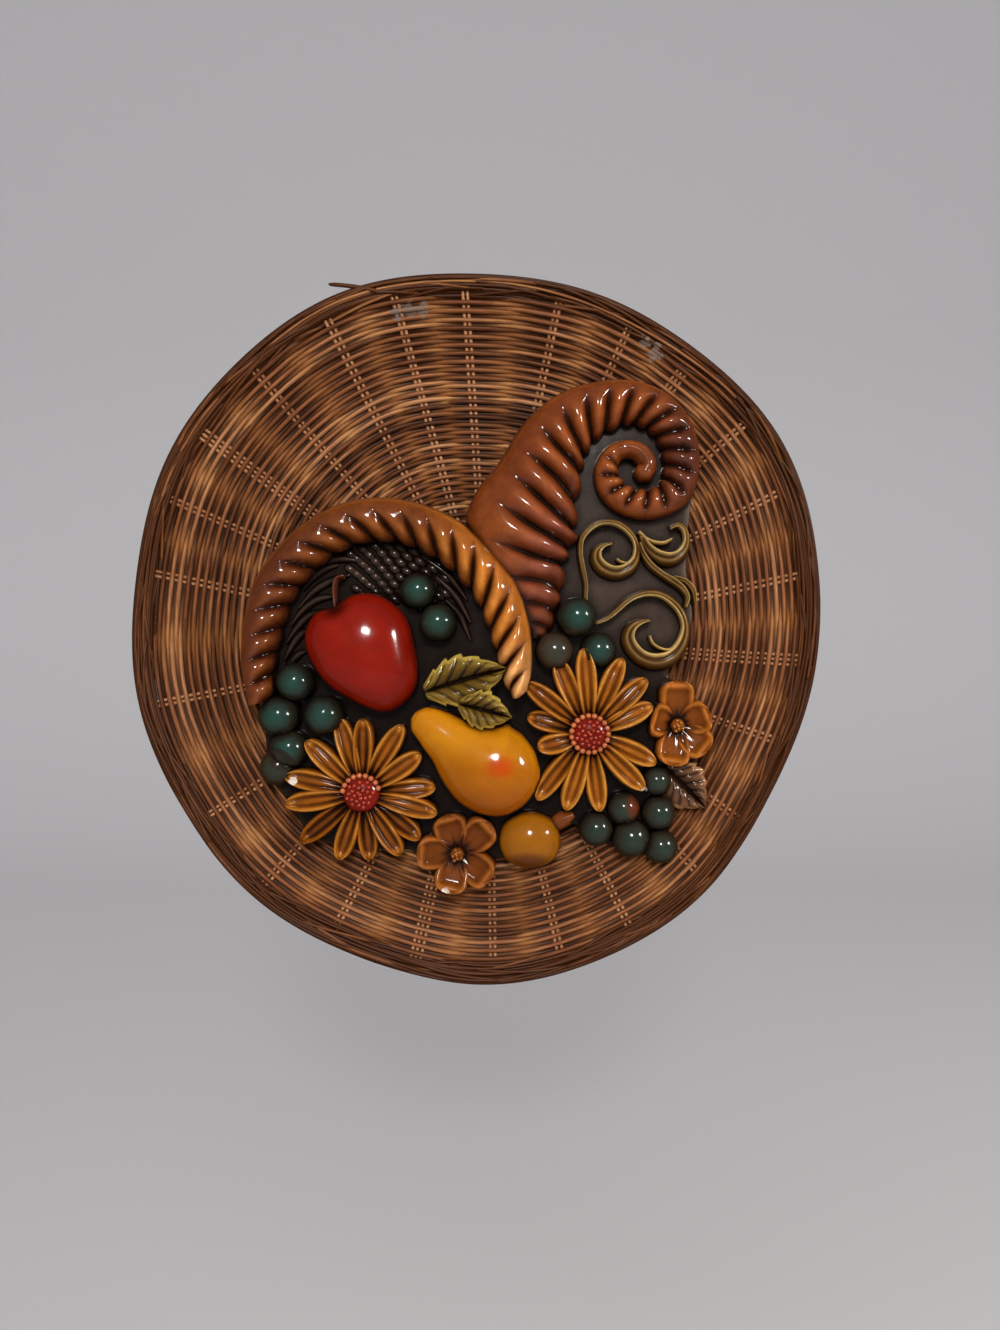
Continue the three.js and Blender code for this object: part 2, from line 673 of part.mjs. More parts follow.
function cornucopiaCasting() {
  const whole = castingParts().map(toSolid).reduce((sum, part) => sum.add(part));
  const solid = whole.subtract(toSolid(behindCasting())).simplify(0.02);
  const geometry = toGeometry(solid);
  geometry.rotateX(Math.PI / 2);
  geometry.translate(0, -(matFront + seatGap), 0);
  return geometry;
}

// The object
function piece(name, geometry, color, roughness) {
  const mesh = new THREE.Mesh(
    geometry,
    new THREE.MeshStandardMaterial({ color, roughness, metalness: 0 }),
  );
  mesh.name = name;
  return mesh;
}

const hanging = new THREE.Group();
hanging.add(piece('woven_mat', wovenMat(), 0x8a6240, 0.75));
hanging.add(piece('woven_border', wovenBorder(), 0x9a7048, 0.75));
hanging.add(piece('cornucopia_casting', cornucopiaCasting(), 0x9c5422, 0.25));

export default hanging;
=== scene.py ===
import math

import bpy
import numpy as np
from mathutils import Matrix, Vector
from mathutils.bvhtree import BVHTree


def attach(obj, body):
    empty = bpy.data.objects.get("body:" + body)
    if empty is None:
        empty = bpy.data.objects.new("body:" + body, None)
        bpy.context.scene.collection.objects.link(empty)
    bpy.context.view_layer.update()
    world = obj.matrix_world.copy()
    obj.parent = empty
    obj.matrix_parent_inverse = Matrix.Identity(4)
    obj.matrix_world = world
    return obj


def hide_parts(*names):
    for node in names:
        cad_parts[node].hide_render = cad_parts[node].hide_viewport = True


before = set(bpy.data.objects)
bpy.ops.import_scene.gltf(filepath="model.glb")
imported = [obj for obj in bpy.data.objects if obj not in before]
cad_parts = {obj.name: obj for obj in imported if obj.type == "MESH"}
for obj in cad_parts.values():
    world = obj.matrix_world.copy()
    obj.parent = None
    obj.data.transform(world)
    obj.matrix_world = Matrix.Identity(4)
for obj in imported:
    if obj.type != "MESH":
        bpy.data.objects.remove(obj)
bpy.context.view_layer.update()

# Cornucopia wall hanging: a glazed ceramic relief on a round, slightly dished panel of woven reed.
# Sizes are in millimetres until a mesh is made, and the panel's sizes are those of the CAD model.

MM = 0.001
rng = np.random.default_rng(11)

# Camera: straight at the panel, from where the photograph was taken
CAMERA_PLACE = (0.0129, -0.561, -0.0199)
CAMERA_LENS = 27.07
CAMERA_SENSOR = 36.0

# Panel
CASTING_HEIGHT = 279.0
CASTING_DEPTH = 34.0
PANEL_RADIUS = 191.3
FLAT_FLOOR_RADIUS = 122.3
RIM_RISE = 17.5
MAT_FRONT = 4.9
SEAT_GAP = 0.3
BORDER_WIDTH = 13.0
BORDER_THICKNESS = 6.4
HUB = np.array([6.2, -6.0])
OUTLINE_WAVES = [
    (1, 0.0126, 97),
    (2, 0.0162, 178),
    (3, 0.0105, 87),
    (4, 0.0089, 112),
    (9, 0.0042, -79),
]
SPOKE_ANGLES = np.radians([
    11.6, 26.8, 40, 54, 65.6, 78.2, 93.7, 105.3, 116.6, 130.9, 144.2, 156.1, 168.8,
    191, 212.1, 227.5, 242.1, 257.2, 270.9, 283, 296.2, 312, 324.5, 340.7, 356.1,
])
SPOKES = len(SPOKE_ANGLES)

# Reed
REED_WIDTH = 3.1
REED_THICKNESS = 2.0
STAKE_DIAMETER = 2.1
STAKE_PITCH = 2.7
FLANK_PAINTED_SHADE = 0.7
ROW_PITCH = 2.05
WEAVE_SWING = 1.1
INNER_ROW_RADIUS = 14.0
OUTER_ROW_SHARE = 1.008
STAKE_SAMPLES = 40
HUB_COIL_START = 1.2
HUB_COIL_TURNS = 7
HUB_COIL_LIFT = 1.5
HUB_COIL_SAMPLES = 700


def outline_radius(angle):
    """The uneven outline: [waves round it, their size, direction of a crest] for each kind of wave."""
    radius = PANEL_RADIUS
    for waves, size, crest in OUTLINE_WAVES:
        radius = radius + PANEL_RADIUS * size * np.cos(waves * angle - math.radians(crest))
    return radius


def dish_share(x, z):
    return np.hypot(x, z) / outline_radius(np.arctan2(z, x))


def dish_rise(share):
    flat = FLAT_FLOOR_RADIUS / PANEL_RADIUS
    return RIM_RISE * (np.maximum(0.0, share - flat) / (1 - flat)) ** 2


RIM_TILT = math.atan2(2 * RIM_RISE, PANEL_RADIUS - FLAT_FLOOR_RADIUS)
BORDER_REACH = math.hypot(
    BORDER_WIDTH / 2 * math.cos(RIM_TILT),
    BORDER_THICKNESS / 2 * math.sin(RIM_TILT),
)


def mat_reach(angle):
    """Distance from the hub to the mat's edge in a direction."""
    reach = np.full_like(angle, PANEL_RADIUS)
    for _ in range(12):
        x = HUB[0] + reach * np.cos(angle)
        z = HUB[1] + reach * np.sin(angle)
        edge = outline_radius(np.arctan2(z, x)) - 2 * BORDER_REACH - SEAT_GAP
        reach = reach + edge - np.hypot(x, z)
    return reach


# Meshes

def make_object(name, vertices, faces, material):
    mesh = bpy.data.meshes.new(name)
    mesh.from_pydata(vertices, [], faces)
    mesh.materials.append(material)
    mesh.polygons.foreach_set("use_smooth", np.full(len(mesh.polygons), True))
    mesh.update()
    piece = bpy.data.objects.new(name, mesh)
    bpy.context.scene.collection.objects.link(piece)
    return piece


def wander(count, knots, size):
    """A smooth random line with about one bend for each knot."""
    knots = max(2, int(knots))
    values = rng.normal(0, size, knots + 3)
    at = np.linspace(1, knots, count)
    i = np.floor(at).astype(int)
    f = at - i
    f = f * f * (3 - 2 * f)
    return values[i] * (1 - f) + values[i + 1] * f


def unit(value):
    return np.clip(value, 0, 1)


def lengths(points):
    """Distance along a line of points, at each point."""
    return np.concatenate([[0], np.cumsum(np.linalg.norm(np.diff(points, axis=0), axis=1))])


def tube_grid(rows, columns):
    """Row, column and next column of each face round a tube."""
    row, column = (at.ravel() for at in np.meshgrid(np.arange(rows), np.arange(columns), indexing="ij"))
    return row, column, (column + 1) % columns


class Strands:
    """Gathers strands of reed into one mesh, with the values that their material reads."""

    def __init__(self, sides):
        self.sides = sides
        self.vertices = []
        self.faces = []
        self.values = {"tone": [], "painted_shade": [], "rise": []}
        self.uvs = []
        self.count = 0

    def add(self, centres, normals, width, thickness, tone, swing=0.0):
        """Adds a strand. `swing` runs from -1, behind the stakes, to 1, in front of them, and also sets
        where shade is painted on it.
        """
        n = len(centres)
        sides = self.sides
        along = np.gradient(centres, axis=0)
        along /= np.linalg.norm(along, axis=1)[:, None]
        side = np.cross(along, normals)
        side /= np.linalg.norm(side, axis=1)[:, None]
        out = np.cross(side, along)
        turn = 2 * np.pi * (np.arange(sides) + 0.5) / sides
        width, thickness, tone, swing = (
            np.broadcast_to(np.asarray(value, float), n)[:, None]
            for value in (width, thickness, tone, swing)
        )
        across = (np.cos(turn) * width / 2)[:, :, None]
        outward = (np.sin(turn) * thickness / 2)[:, :, None]
        ring = centres[:, None, :] + side[:, None, :] * across + out[:, None, :] * outward
        row, column, after = tube_grid(n - 1, sides)
        here = row * sides + self.count
        quads = np.stack([here + column, here + after, here + sides + after, here + sides + column], axis=1)
        self.faces.extend(quads.tolist())
        u = rng.uniform(0, 1000) + lengths(centres)
        v = column / sides
        corner_u = np.stack([u[row], u[row], u[row + 1], u[row + 1]], axis=1)
        corner_v = np.stack([v, v + 1 / sides, v + 1 / sides, v], axis=1)
        self.uvs.append(np.stack([corner_u, corner_v], axis=2).reshape(-1, 2))
        first = np.arange(sides) + self.count
        for cap, place in ((first[::-1], u[0]), (first + (n - 1) * sides, u[-1])):
            self.faces.append(cap.tolist())
            self.uvs.append(np.full((sides, 2), (place, 0.5)))
        self.vertices.append(ring.reshape(-1, 3))
        # Painted shade: the flanks of a strand, and its face that is turned toward the stakes, are
        # darkened.
        edge = FLANK_PAINTED_SHADE * unit((np.abs(np.cos(turn)) - 0.25) / 0.45)
        self.values["tone"].append(np.repeat(tone, sides))
        self.values["painted_shade"].append(np.maximum(unit(-swing * np.sin(turn)), edge).ravel())
        self.values["rise"].append(np.repeat(np.abs(swing), sides))
        self.count += n * sides

    def build(self, name, material, node):
        vertices = np.concatenate(self.vertices) * MM
        piece = make_object(name, vertices.tolist(), self.faces, material)
        for value, parts in self.values.items():
            layer = piece.data.attributes.new(value, "FLOAT", "POINT")
            layer.data.foreach_set("value", np.concatenate(parts).astype(np.float32))
        layer = piece.data.uv_layers.new(name="length")
        layer.data.foreach_set("uv", np.concatenate(self.uvs).astype(np.float32).ravel())
        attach(piece, "root")
        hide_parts(node)


# Materials

def srgb(red, green, blue):
    """A linear colour from the 0 to 255 values that a picture shows."""
    def linear(value):
        value /= 255
        return value / 12.92 if value <= 0.04045 else ((value + 0.055) / 1.055) ** 2.4
    return np.array([linear(red), linear(green), linear(blue)])


class MaterialNodes:
    """A material, with short ways to add nodes to it."""

    def __init__(self, name):
        self.material = bpy.data.materials.new(name)
        self.material.use_nodes = True
        self.tree = self.material.node_tree
        self.shader = self.tree.nodes["Principled BSDF"]

    def set(self, node, inputs):
        """Links each input to an output, or gives it a value. An array is a colour."""
        for name, value in inputs.items():
            if isinstance(value, bpy.types.NodeSocket):
                self.tree.links.new(value, node.inputs[name])
            else:
                node.inputs[name].default_value = (*value, 1) if isinstance(value, np.ndarray) else value
        return node

    def add(self, kind, inputs, **settings):
        node = self.tree.nodes.new("ShaderNode" + kind)
        for name, value in settings.items():
            setattr(node, name, value)
        return self.set(node, inputs)

    def attribute(self, name, output="Fac"):
        return self.add("Attribute", {}, attribute_name=name).outputs[output]

    def place(self):
        return self.add("TexCoord", {}).outputs["Object"]

    def noise(self, vector, scale, **inputs):
        return self.add("TexNoise", {"Vector": vector, "Scale": scale, **inputs}).outputs["Fac"]

    def scaled(self, value, factor, added=0.0):
        return self.add("Math", {0: value, 1: factor, 2: added}, operation="MULTIPLY_ADD").outputs[0]

    def mapped(self, value, low, high, to_low=0.0, to_high=1.0):
        inputs = {"Value": value, "From Min": low, "From Max": high, "To Min": to_low, "To Max": to_high}
        return self.add("MapRange", inputs).outputs["Result"]

    def mixed(self, amount, a, b):
        return self.add("Mix", {"Factor": amount, "A": a, "B": b}, data_type="RGBA").outputs["Result"]

    def ramp(self, amount, colours):
        """Three colours, at 0, a half and 1."""
        node = self.add("ValToRGB", {"Fac": amount})
        node.color_ramp.elements.new(0.5)
        for element, colour in zip(node.color_ramp.elements, colours):
            element.color = (*srgb(*colour), 1)
        return node.outputs["Color"]

    def bump(self, height, strength, distance):
        inputs = {"Height": height, "Strength": strength, "Distance": distance}
        return self.add("Bump", inputs).outputs["Normal"]

    def spots(self, place, colour, spots, tint, grain, ragged, soft):
        """Paints round spots with ragged edges, given in millimetres as [x, z, radius]."""
        noise = self.noise(place, grain)
        flat = self.add("VectorMath", {0: place, 1: (1, 0, 1)}, operation="MULTIPLY").outputs["Vector"]
        for x, z, radius in spots:
            gap = self.add("VectorMath", {0: flat, 1: (x * MM, 0, z * MM)}, operation="DISTANCE")
            rough = self.scaled(noise, ragged * MM, gap.outputs["Value"])
            inside = self.mapped(rough, (radius + ragged / 2 + soft) * MM, (radius + ragged / 2) * MM)
            colour = self.mixed(inside, colour, tint)
        return colour


# Places near the rim where the varnish is worn off to grey: [x, z, radius]
WORN_PLACES = [
    (-44.0, 172.5, 2.6), (-37.0, 174.5, 3.4), (-29.5, 174.5, 2.6), (97.4, 150.7, 3.0), (92.0, 156.0, 2.2),
]
WORN_COLOUR = srgb(128, 106, 92)


def reed_material(name, shine):
    """Varnished reed: golden where it lies level, browner where it rides up, with painted shade where it is
    tucked behind the stakes and along its flanks.
    """
    nodes = MaterialNodes(name)
    length = nodes.add("UVMap", {}, uv_map="length").outputs["UV"]
    along = nodes.add("Mapping", {"Vector": length, "Scale": (0.09, 9.0, 1.0)}).outputs["Vector"]
    fibre = nodes.noise(along, 1.0, Detail=5.0)
    place = nodes.place()
    stain = nodes.noise(place, 24.0, Detail=3.0)
    tone = nodes.scaled(fibre, 0.7, nodes.attribute("tone"))
    tone = nodes.mapped(nodes.scaled(stain, 0.5, tone), 0.26, 1.04)
    golden = nodes.ramp(tone, [(88, 48, 18), (150, 93, 42), (208, 148, 82)])
    brown = nodes.ramp(tone, [(76, 40, 21), (140, 83, 53), (204, 144, 104)])
    body = nodes.mixed(nodes.scaled(nodes.attribute("rise"), 0.55, 0.25), golden, brown)
    # Painted shade: strands turn dark brown where they are tucked behind the stakes and along their flanks.
    colour = nodes.mixed(nodes.scaled(nodes.attribute("painted_shade"), 0.88), body, srgb(38, 17, 7))
    nodes.set(nodes.shader, {
        "Base Color": nodes.spots(place, colour, WORN_PLACES, WORN_COLOUR, 320.0, 10.0, 1.0),
        "Roughness": 0.5,
        "Specular IOR Level": 0.02,
        "Coat Weight": shine,
        "Coat Roughness": 0.35,
        "Normal": nodes.bump(fibre, 0.35, 0.0002),
    })
    return nodes.material


# The woven mat

def panel_frames(along, angle, lift, sideways=0.0):
    """Places at a height above the mat's middle surface, with the surface's outward normals.

    Each place is found by going from the hub along a direction, and then sideways from it.
    """
    x = HUB[0] + along * np.cos(angle) - sideways * np.sin(angle)
    z = HUB[1] + along * np.sin(angle) + sideways * np.cos(angle)
    share = dish_share(x, z)
    step = 0.004
    slope = (dish_rise(share + step) - dish_rise(share - step)) / (2 * step * PANEL_RADIUS)
    radius = np.maximum(np.hypot(x, z), 1e-6)
    normal = np.stack([-slope * x / radius, -np.ones_like(x), -slope * z / radius], axis=1)
    normal /= np.linalg.norm(normal, axis=1)[:, None]
    middle = dish_rise(share) + MAT_FRONT / 2
    return np.stack([x, -middle, z], axis=1) + normal * np.asarray(lift)[:, None], normal


def spoke_angle(place):
    """Direction of a place that is counted in spokes."""
    angles = np.append(SPOKE_ANGLES, SPOKE_ANGLES[0] + 2 * np.pi)
    turn = np.floor(place / SPOKES)
    return np.interp(place - turn * SPOKES, np.arange(SPOKES + 1), angles) + 2 * np.pi * turn


reach_angles = np.linspace(0, 2 * np.pi, 721)
reach_table = mat_reach(reach_angles)


def reach_at(angle):
    return np.interp(np.mod(angle, 2 * np.pi), reach_angles, reach_table)


MEAN_REACH = float(reach_table.mean())
ROWS = int(round((MEAN_REACH - INNER_ROW_RADIUS) / ROW_PITCH))


def weave_rows(first, last, samples, name, material):
    """Rows of one long reed that runs over and under the stakes, round and round."""
    strands = Strands(7)
    count = (last - first) * SPOKES * samples + 1
    place = np.linspace(first * SPOKES, last * SPOKES, count)
    angle = spoke_angle(place)
    start = INNER_ROW_RADIUS / MEAN_REACH
    share = start + (OUTER_ROW_SHARE - start) * (place / SPOKES + 0.5) / (ROWS + 0.5)
    radius = reach_at(angle) * share + wander(count, (last - first) * SPOKES / 3, 0.11)
    swing = np.cos(np.pi * place)
    swing = 1.3 * swing - 0.3 * swing ** 3
    centres, normals = panel_frames(radius, angle, WEAVE_SWING * swing)
    width = REED_WIDTH * (1 + wander(count, (last - first) * 9, 0.05)) * (1 - 0.13 * swing)
    reeds = np.floor(place / (SPOKES * 1.7) + wander(count, (last - first) * 2, 0.3)).astype(int)
    tones = rng.normal(0.0, 0.16, reeds.max() + 2)[reeds] + wander(count, (last - first) * 8, 0.05)
    strands.add(centres, normals, width, REED_THICKNESS, tones, swing)
    strands.build(name, material, "woven_mat")


def stakes(material):
    """Two or three straight sticks at each spoke, from the hub to the border."""
    strands = Strands(8)
    for spoke, angle in enumerate(SPOKE_ANGLES):
        trio = spoke % 7 == 3
        offsets = (-STAKE_PITCH, 0, STAKE_PITCH) if trio else (-STAKE_PITCH / 2, STAKE_PITCH / 2)
        start = 5.0 if spoke % 2 else 9.0
        along = np.linspace(start, float(reach_at(angle)) + 3.0, STAKE_SAMPLES)
        for offset in offsets:
            sideways = offset * np.minimum(1.0, along / 45.0) + wander(STAKE_SAMPLES, 5, 0.12)
            centres, normals = panel_frames(along, angle, np.zeros(STAKE_SAMPLES), sideways)
            # A swing of 0.9 paints shade on the back of each stake.
            strands.add(centres, normals, STAKE_DIAMETER, STAKE_DIAMETER, rng.normal(0.3, 0.1), 0.9)
    strands.build("reed_stakes", material, "woven_mat")


def hub_coil(material):
    """A close coil that covers the middle, where the stakes meet."""
    strands = Strands(7)
    count = HUB_COIL_SAMPLES
    turn = np.linspace(0, 2 * np.pi * HUB_COIL_TURNS, count)
    radius = np.linspace(HUB_COIL_START, INNER_ROW_RADIUS, count)
    for side in (-1, 1):
        centres, normals = panel_frames(radius, turn, np.full(count, side * HUB_COIL_LIFT))
        strands.add(centres, normals, REED_WIDTH * 0.95, REED_THICKNESS, wander(count, 20, 0.1))
    strands.build("reed_hub", material, "woven_mat")


# The border

BORDER_INSET = 0.9
BORDER_LIFT = 0.45
BORDER_TONE = -0.34
BORDER_LANES = 6
BORDER_LAYERS = (-0.8, -0.1)
LANE_SAMPLES = 340
STRAYING_STRANDS = 26
STRAY_SAMPLES = 120
END_SAMPLES = 60
LOOSE_END = ((-54.0, 182.5), (-79.8, 186.1))
LOOSE_SAMPLES = 16


def border_strand(strands, angle, across, lift, width, thickness, tone):
    """A strand along the rim. `across` and `lift` run from -1 to 1 over the border's section."""
    middle = outline_radius(angle) - BORDER_REACH - BORDER_INSET
    height = dish_rise(middle / outline_radius(angle)) + MAT_FRONT / 2 + BORDER_LIFT
    wide = (BORDER_WIDTH - REED_WIDTH) / 2 * across
    room = np.sqrt(np.maximum(0.0, 1 - (0.9 * across) ** 2))
    thick = (BORDER_THICKNESS - REED_THICKNESS) / 2 * lift * room
    radius = middle + wide * math.cos(RIM_TILT) - thick * math.sin(RIM_TILT)
    out = height + wide * math.sin(RIM_TILT) + thick * math.cos(RIM_TILT)
    centres = np.stack([radius * np.cos(angle), -out, radius * np.sin(angle)], axis=1)
    normals = np.stack([
        -math.sin(RIM_TILT) * np.cos(angle),
        np.full_like(angle, -math.cos(RIM_TILT)),
        -math.sin(RIM_TILT) * np.sin(angle),
    ], axis=1)
    # The swing also paints shade on the face turned toward the stakes, so the lanes deep in the rim are
    # dark in front.
    swing = np.clip((lift - 0.35) * 0.9, -0.9, 0.6)
    strands.add(centres, normals, width, thickness, tone + BORDER_TONE, swing)


def border(material):
    """Lanes of reed deep in the rim, strands that stray over them, then each spoke's ends."""
    strands = Strands(7)
    for layer in BORDER_LAYERS:
        for lane in range(BORDER_LANES):
            count = LANE_SAMPLES
            angle = rng.uniform(0, 2 * np.pi) + np.linspace(0, 2 * np.pi * 0.995, count)
            across = -1.1 + 2.1 * lane / (BORDER_LANES - 1) + wander(count, 24, 0.05)
            lift = layer + wander(count, 30, 0.08)
            tone = rng.normal(-0.3, 0.1) + wander(count, 30, 0.06)
            border_strand(strands, angle, np.clip(across, -1.15, 1), lift, 2.4, 1.5, tone)
    for k in range(STRAYING_STRANDS):
        count = STRAY_SAMPLES
        angle = rng.uniform(0, 2 * np.pi) + np.linspace(0, math.radians(rng.uniform(60, 150)), count)
        across = -0.9 + 1.85 * ((k * 0.618) % 1.0) + wander(count, 6, 0.2)
        lift = np.clip(0.75 + wander(count, 8, 0.15), -1, 1)
        tone = rng.normal(-0.06, 0.18) + wander(count, 10, 0.06)
        border_strand(strands, angle, np.clip(across, -1.1, 1), lift, 1.7, 1.4, tone)
    for direction in SPOKE_ANGLES:
        for way in (1, -1):
            sweep = math.radians(rng.uniform(26, 52))
            run = np.linspace(0, 1, END_SAMPLES)
            angle = direction + way * (0.012 + sweep * run)
            far = rng.uniform(0.7, 1.0)
            across = -1.15 + (1.15 + far) * np.sin(np.pi / 2 * np.minimum(1, run * 1.3)) ** 1.3
            lift = 0.4 + 0.6 * way * np.cos(np.pi * (run * 3.4 + rng.uniform(0, 1)))
            tone = rng.normal(-0.08, 0.18) + wander(END_SAMPLES, 6, 0.06)
            width = 1.9 * (1 - 3.5 * np.clip(run - 0.9, 0, 0.1))
            border_strand(strands, angle, across, lift, width, 1.5, tone)
    loose_end(strands)
    strands.build("reed_border", material, "woven_border")


def loose_end(strands):
    """One reed's end has sprung out of the border at the upper left."""
    run = np.linspace(0, 1, LOOSE_SAMPLES)
    x, z = (np.interp(run, [0, 1], ends) for ends in zip(*LOOSE_END))
    height = dish_rise(1.0) + MAT_FRONT / 2
    centres = np.stack([x, np.full_like(x, -height), z + 0.6 * np.sin(np.pi * run)], axis=1)
    normals = np.tile([0.0, -1.0, 0.0], (LOOSE_SAMPLES, 1))
    width = np.interp(run, [0, 0.9, 1], [2.6, 2.3, 1.3])
    strands.add(centres, normals, width, width * 0.7, -0.35)


# The casting is drawn flat: x to the right, y up and z out of its back. Places are in hundredths
# of its height, measured from the panel's middle, and levels are shares of its depth.

SHARE = CASTING_HEIGHT / 100
CASTING_BACK = MAT_FRONT + SEAT_GAP
GROUND_LEVEL = 5.0 / CASTING_DEPTH
GROUND_ROUNDING = 1.4


class Parts:
    """Closed forms of the casting, each with its glaze's name and with a shade at every point.

    A shade runs from -1, where the glaze pools brown and shade is painted, to 1, where it thins over an
    edge and a highlight is painted.
    """

    def __init__(self):
        self.vertices = []
        self.faces = []
        self.glazes = []
        self.shades = []
        self.count = 0

    def add(self, glaze, vertices, faces, shades):
        self.vertices.append(np.asarray(vertices, float))
        self.faces.extend([[i + self.count for i in face] for face in faces])
        self.glazes.extend([glaze] * len(vertices))
        self.shades.append(np.asarray(shades, float))
        self.count += len(vertices)

    def loft(self, glaze, rings, shades=None):
        """A closed surface through rings (rows, columns, 3), with a fan at both ends."""
        rings = np.asarray(rings, float)
        rows, columns, _ = rings.shape
        shades = np.zeros((rows, columns)) if shades is None else shades
        vertices = np.concatenate([rings.reshape(-1, 3), [rings[0].mean(axis=0), rings[-1].mean(axis=0)]])
        shades = np.concatenate([shades.ravel(), [shades[0].mean(), shades[-1].mean()]])
        row, column, after = tube_grid(rows - 1, columns)
        here = row * columns
        there = here + columns
        faces = np.stack([here + column, there + column, there + after, here + after], axis=1).tolist()
        start = rows * columns
        top = (rows - 1) * columns
        for i in range(columns):
            j = (i + 1) % columns
            faces.append([start, i, j])
            faces.append([start + 1, top + j, top + i])
        if signed_volume(vertices, faces) < 0:
            faces = [face[::-1] for face in faces]
        self.add(glaze, vertices, faces, shades)


def signed_volume(vertices, faces):
    triangles = np.array([
        (face[0], face[i], face[i + 1])
        for face in faces
        for i in range(1, len(face) - 1)
    ])
    a, b, c = (vertices[triangles[:, i]] for i in range(3))
    return float(np.einsum("ij,ij->", a, np.cross(b, c)))


def on_panel(points):
    """The same points, moved to where the casting's back lies on the dished panel."""
    points = np.array(points, float)
    points[..., 2] = dish_rise(dish_share(points[..., 0], points[..., 1]))
    return points


def with_feet(rings, shades):
    """Closes open rings with a foot on the panel under each end."""
    feet = on_panel(rings[:, [-1, 0], :])
    # The feet take the darkest shade: pooled glaze and painted shade where a form meets the ground.
    dark = np.full((len(rings), 2), -1.0)
    return np.concatenate([rings, feet], axis=1), np.concatenate([shades, dark], axis=1)


def smoothstep(low, high, value):
    t = unit((value - low) / (high - low))
    return t * t * (3 - 2 * t)


def relief_points(x, y, level):
    """Points in millimetres for places in shares and levels."""
    return np.stack(np.broadcast_arrays(x * SHARE, y * SHARE, level * CASTING_DEPTH), axis=-1)


def spline(points, closed=False, fine=24):
    """A centripetal Catmull-Rom line through points, resampled finely."""
    points = np.asarray(points, float)
    if closed:
        padded = np.concatenate([points[-1:], points, points[:2]])
    else:
        padded = np.concatenate([2 * points[:1] - points[1:2], points, 2 * points[-1:] - points[-2:-1]])
    out = []
    for i in range(len(padded) - 3):
        p = padded[i:i + 4]
        gaps = np.maximum(1e-6, np.linalg.norm(np.diff(p, axis=0), axis=1)) ** 0.5
        knots = np.concatenate([[0], np.cumsum(gaps)])
        t = np.linspace(knots[1], knots[2], fine, endpoint=False)[:, None]

        def between(a, b, low, high):
            share = (t - knots[low]) / (knots[high] - knots[low])
            return (1 - share) * a + share * b

        a = [between(p[j], p[j + 1], j, j + 1) for j in range(3)]
        b = [between(a[j], a[j + 1], j, j + 2) for j in range(2)]
        out.append(between(b[0], b[1], 1, 2))
    line = np.concatenate(out)
    if not closed:
        line = np.concatenate([line, points[-1:]])
    return line


RIB_CROWDING = 0.42
LOBE_ROWS = 18
LOBE_COLUMNS = 44
BEAD_SIDES = 14


class Path:
    """A smooth line with a half width, measured along its length."""

    def __init__(self, points):
        self.line = spline(points, fine=40)
        self.length = lengths(self.line[:, :2])
        self.total = self.length[-1]
        crowd = 0.5 * (self.line[1:, 2] + self.line[:-1, 2])
        steps = np.diff(self.length) * np.maximum(crowd, 0.2) ** -RIB_CROWDING
        phase = np.concatenate([[0], np.cumsum(steps)])
        self.phase = phase / phase[-1]
        self.along = np.gradient(self.line[:, :2], axis=0)
        self.along /= np.linalg.norm(self.along, axis=1)[:, None]

    def station(self, phase):
        return np.interp(phase, self.phase, self.length)

    def at(self, station):
        station = np.clip(station, 0, self.total)
        x, y, w = (np.interp(station, self.length, self.line[:, i]) for i in range(3))
        ax, ay = (np.interp(station, self.length, self.along[:, i]) for i in range(2))
        size = np.hypot(ax, ay)
        return x, y, w, ax / size, ay / size


def bar(parts, glaze, line, base, top, rows, columns, section=None):
    """A rounded bar along a line. `section` gives its relief's share and shade across it."""
    path = Path(line)
    turn = np.linspace(0, np.pi, columns + 1)
    across = np.cos(turn)[None, :]
    x, y, w, ax, ay = (value[:, None] for value in path.at(path.station(np.linspace(0, 1, rows + 1))))
    relief = np.sin(turn)[None, :]
    shades = np.zeros((rows + 1, columns + 1))
    if section is not None:
        relief = np.interp(across, *section[:2])
        shades = shades + np.interp(across, section[0], section[2])
    level = base + ((top(w) if callable(top) else top) - base) * relief
    parts.loft(glaze, *with_feet(relief_points(x + ay * w * across, y - ax * w * across, level), shades))


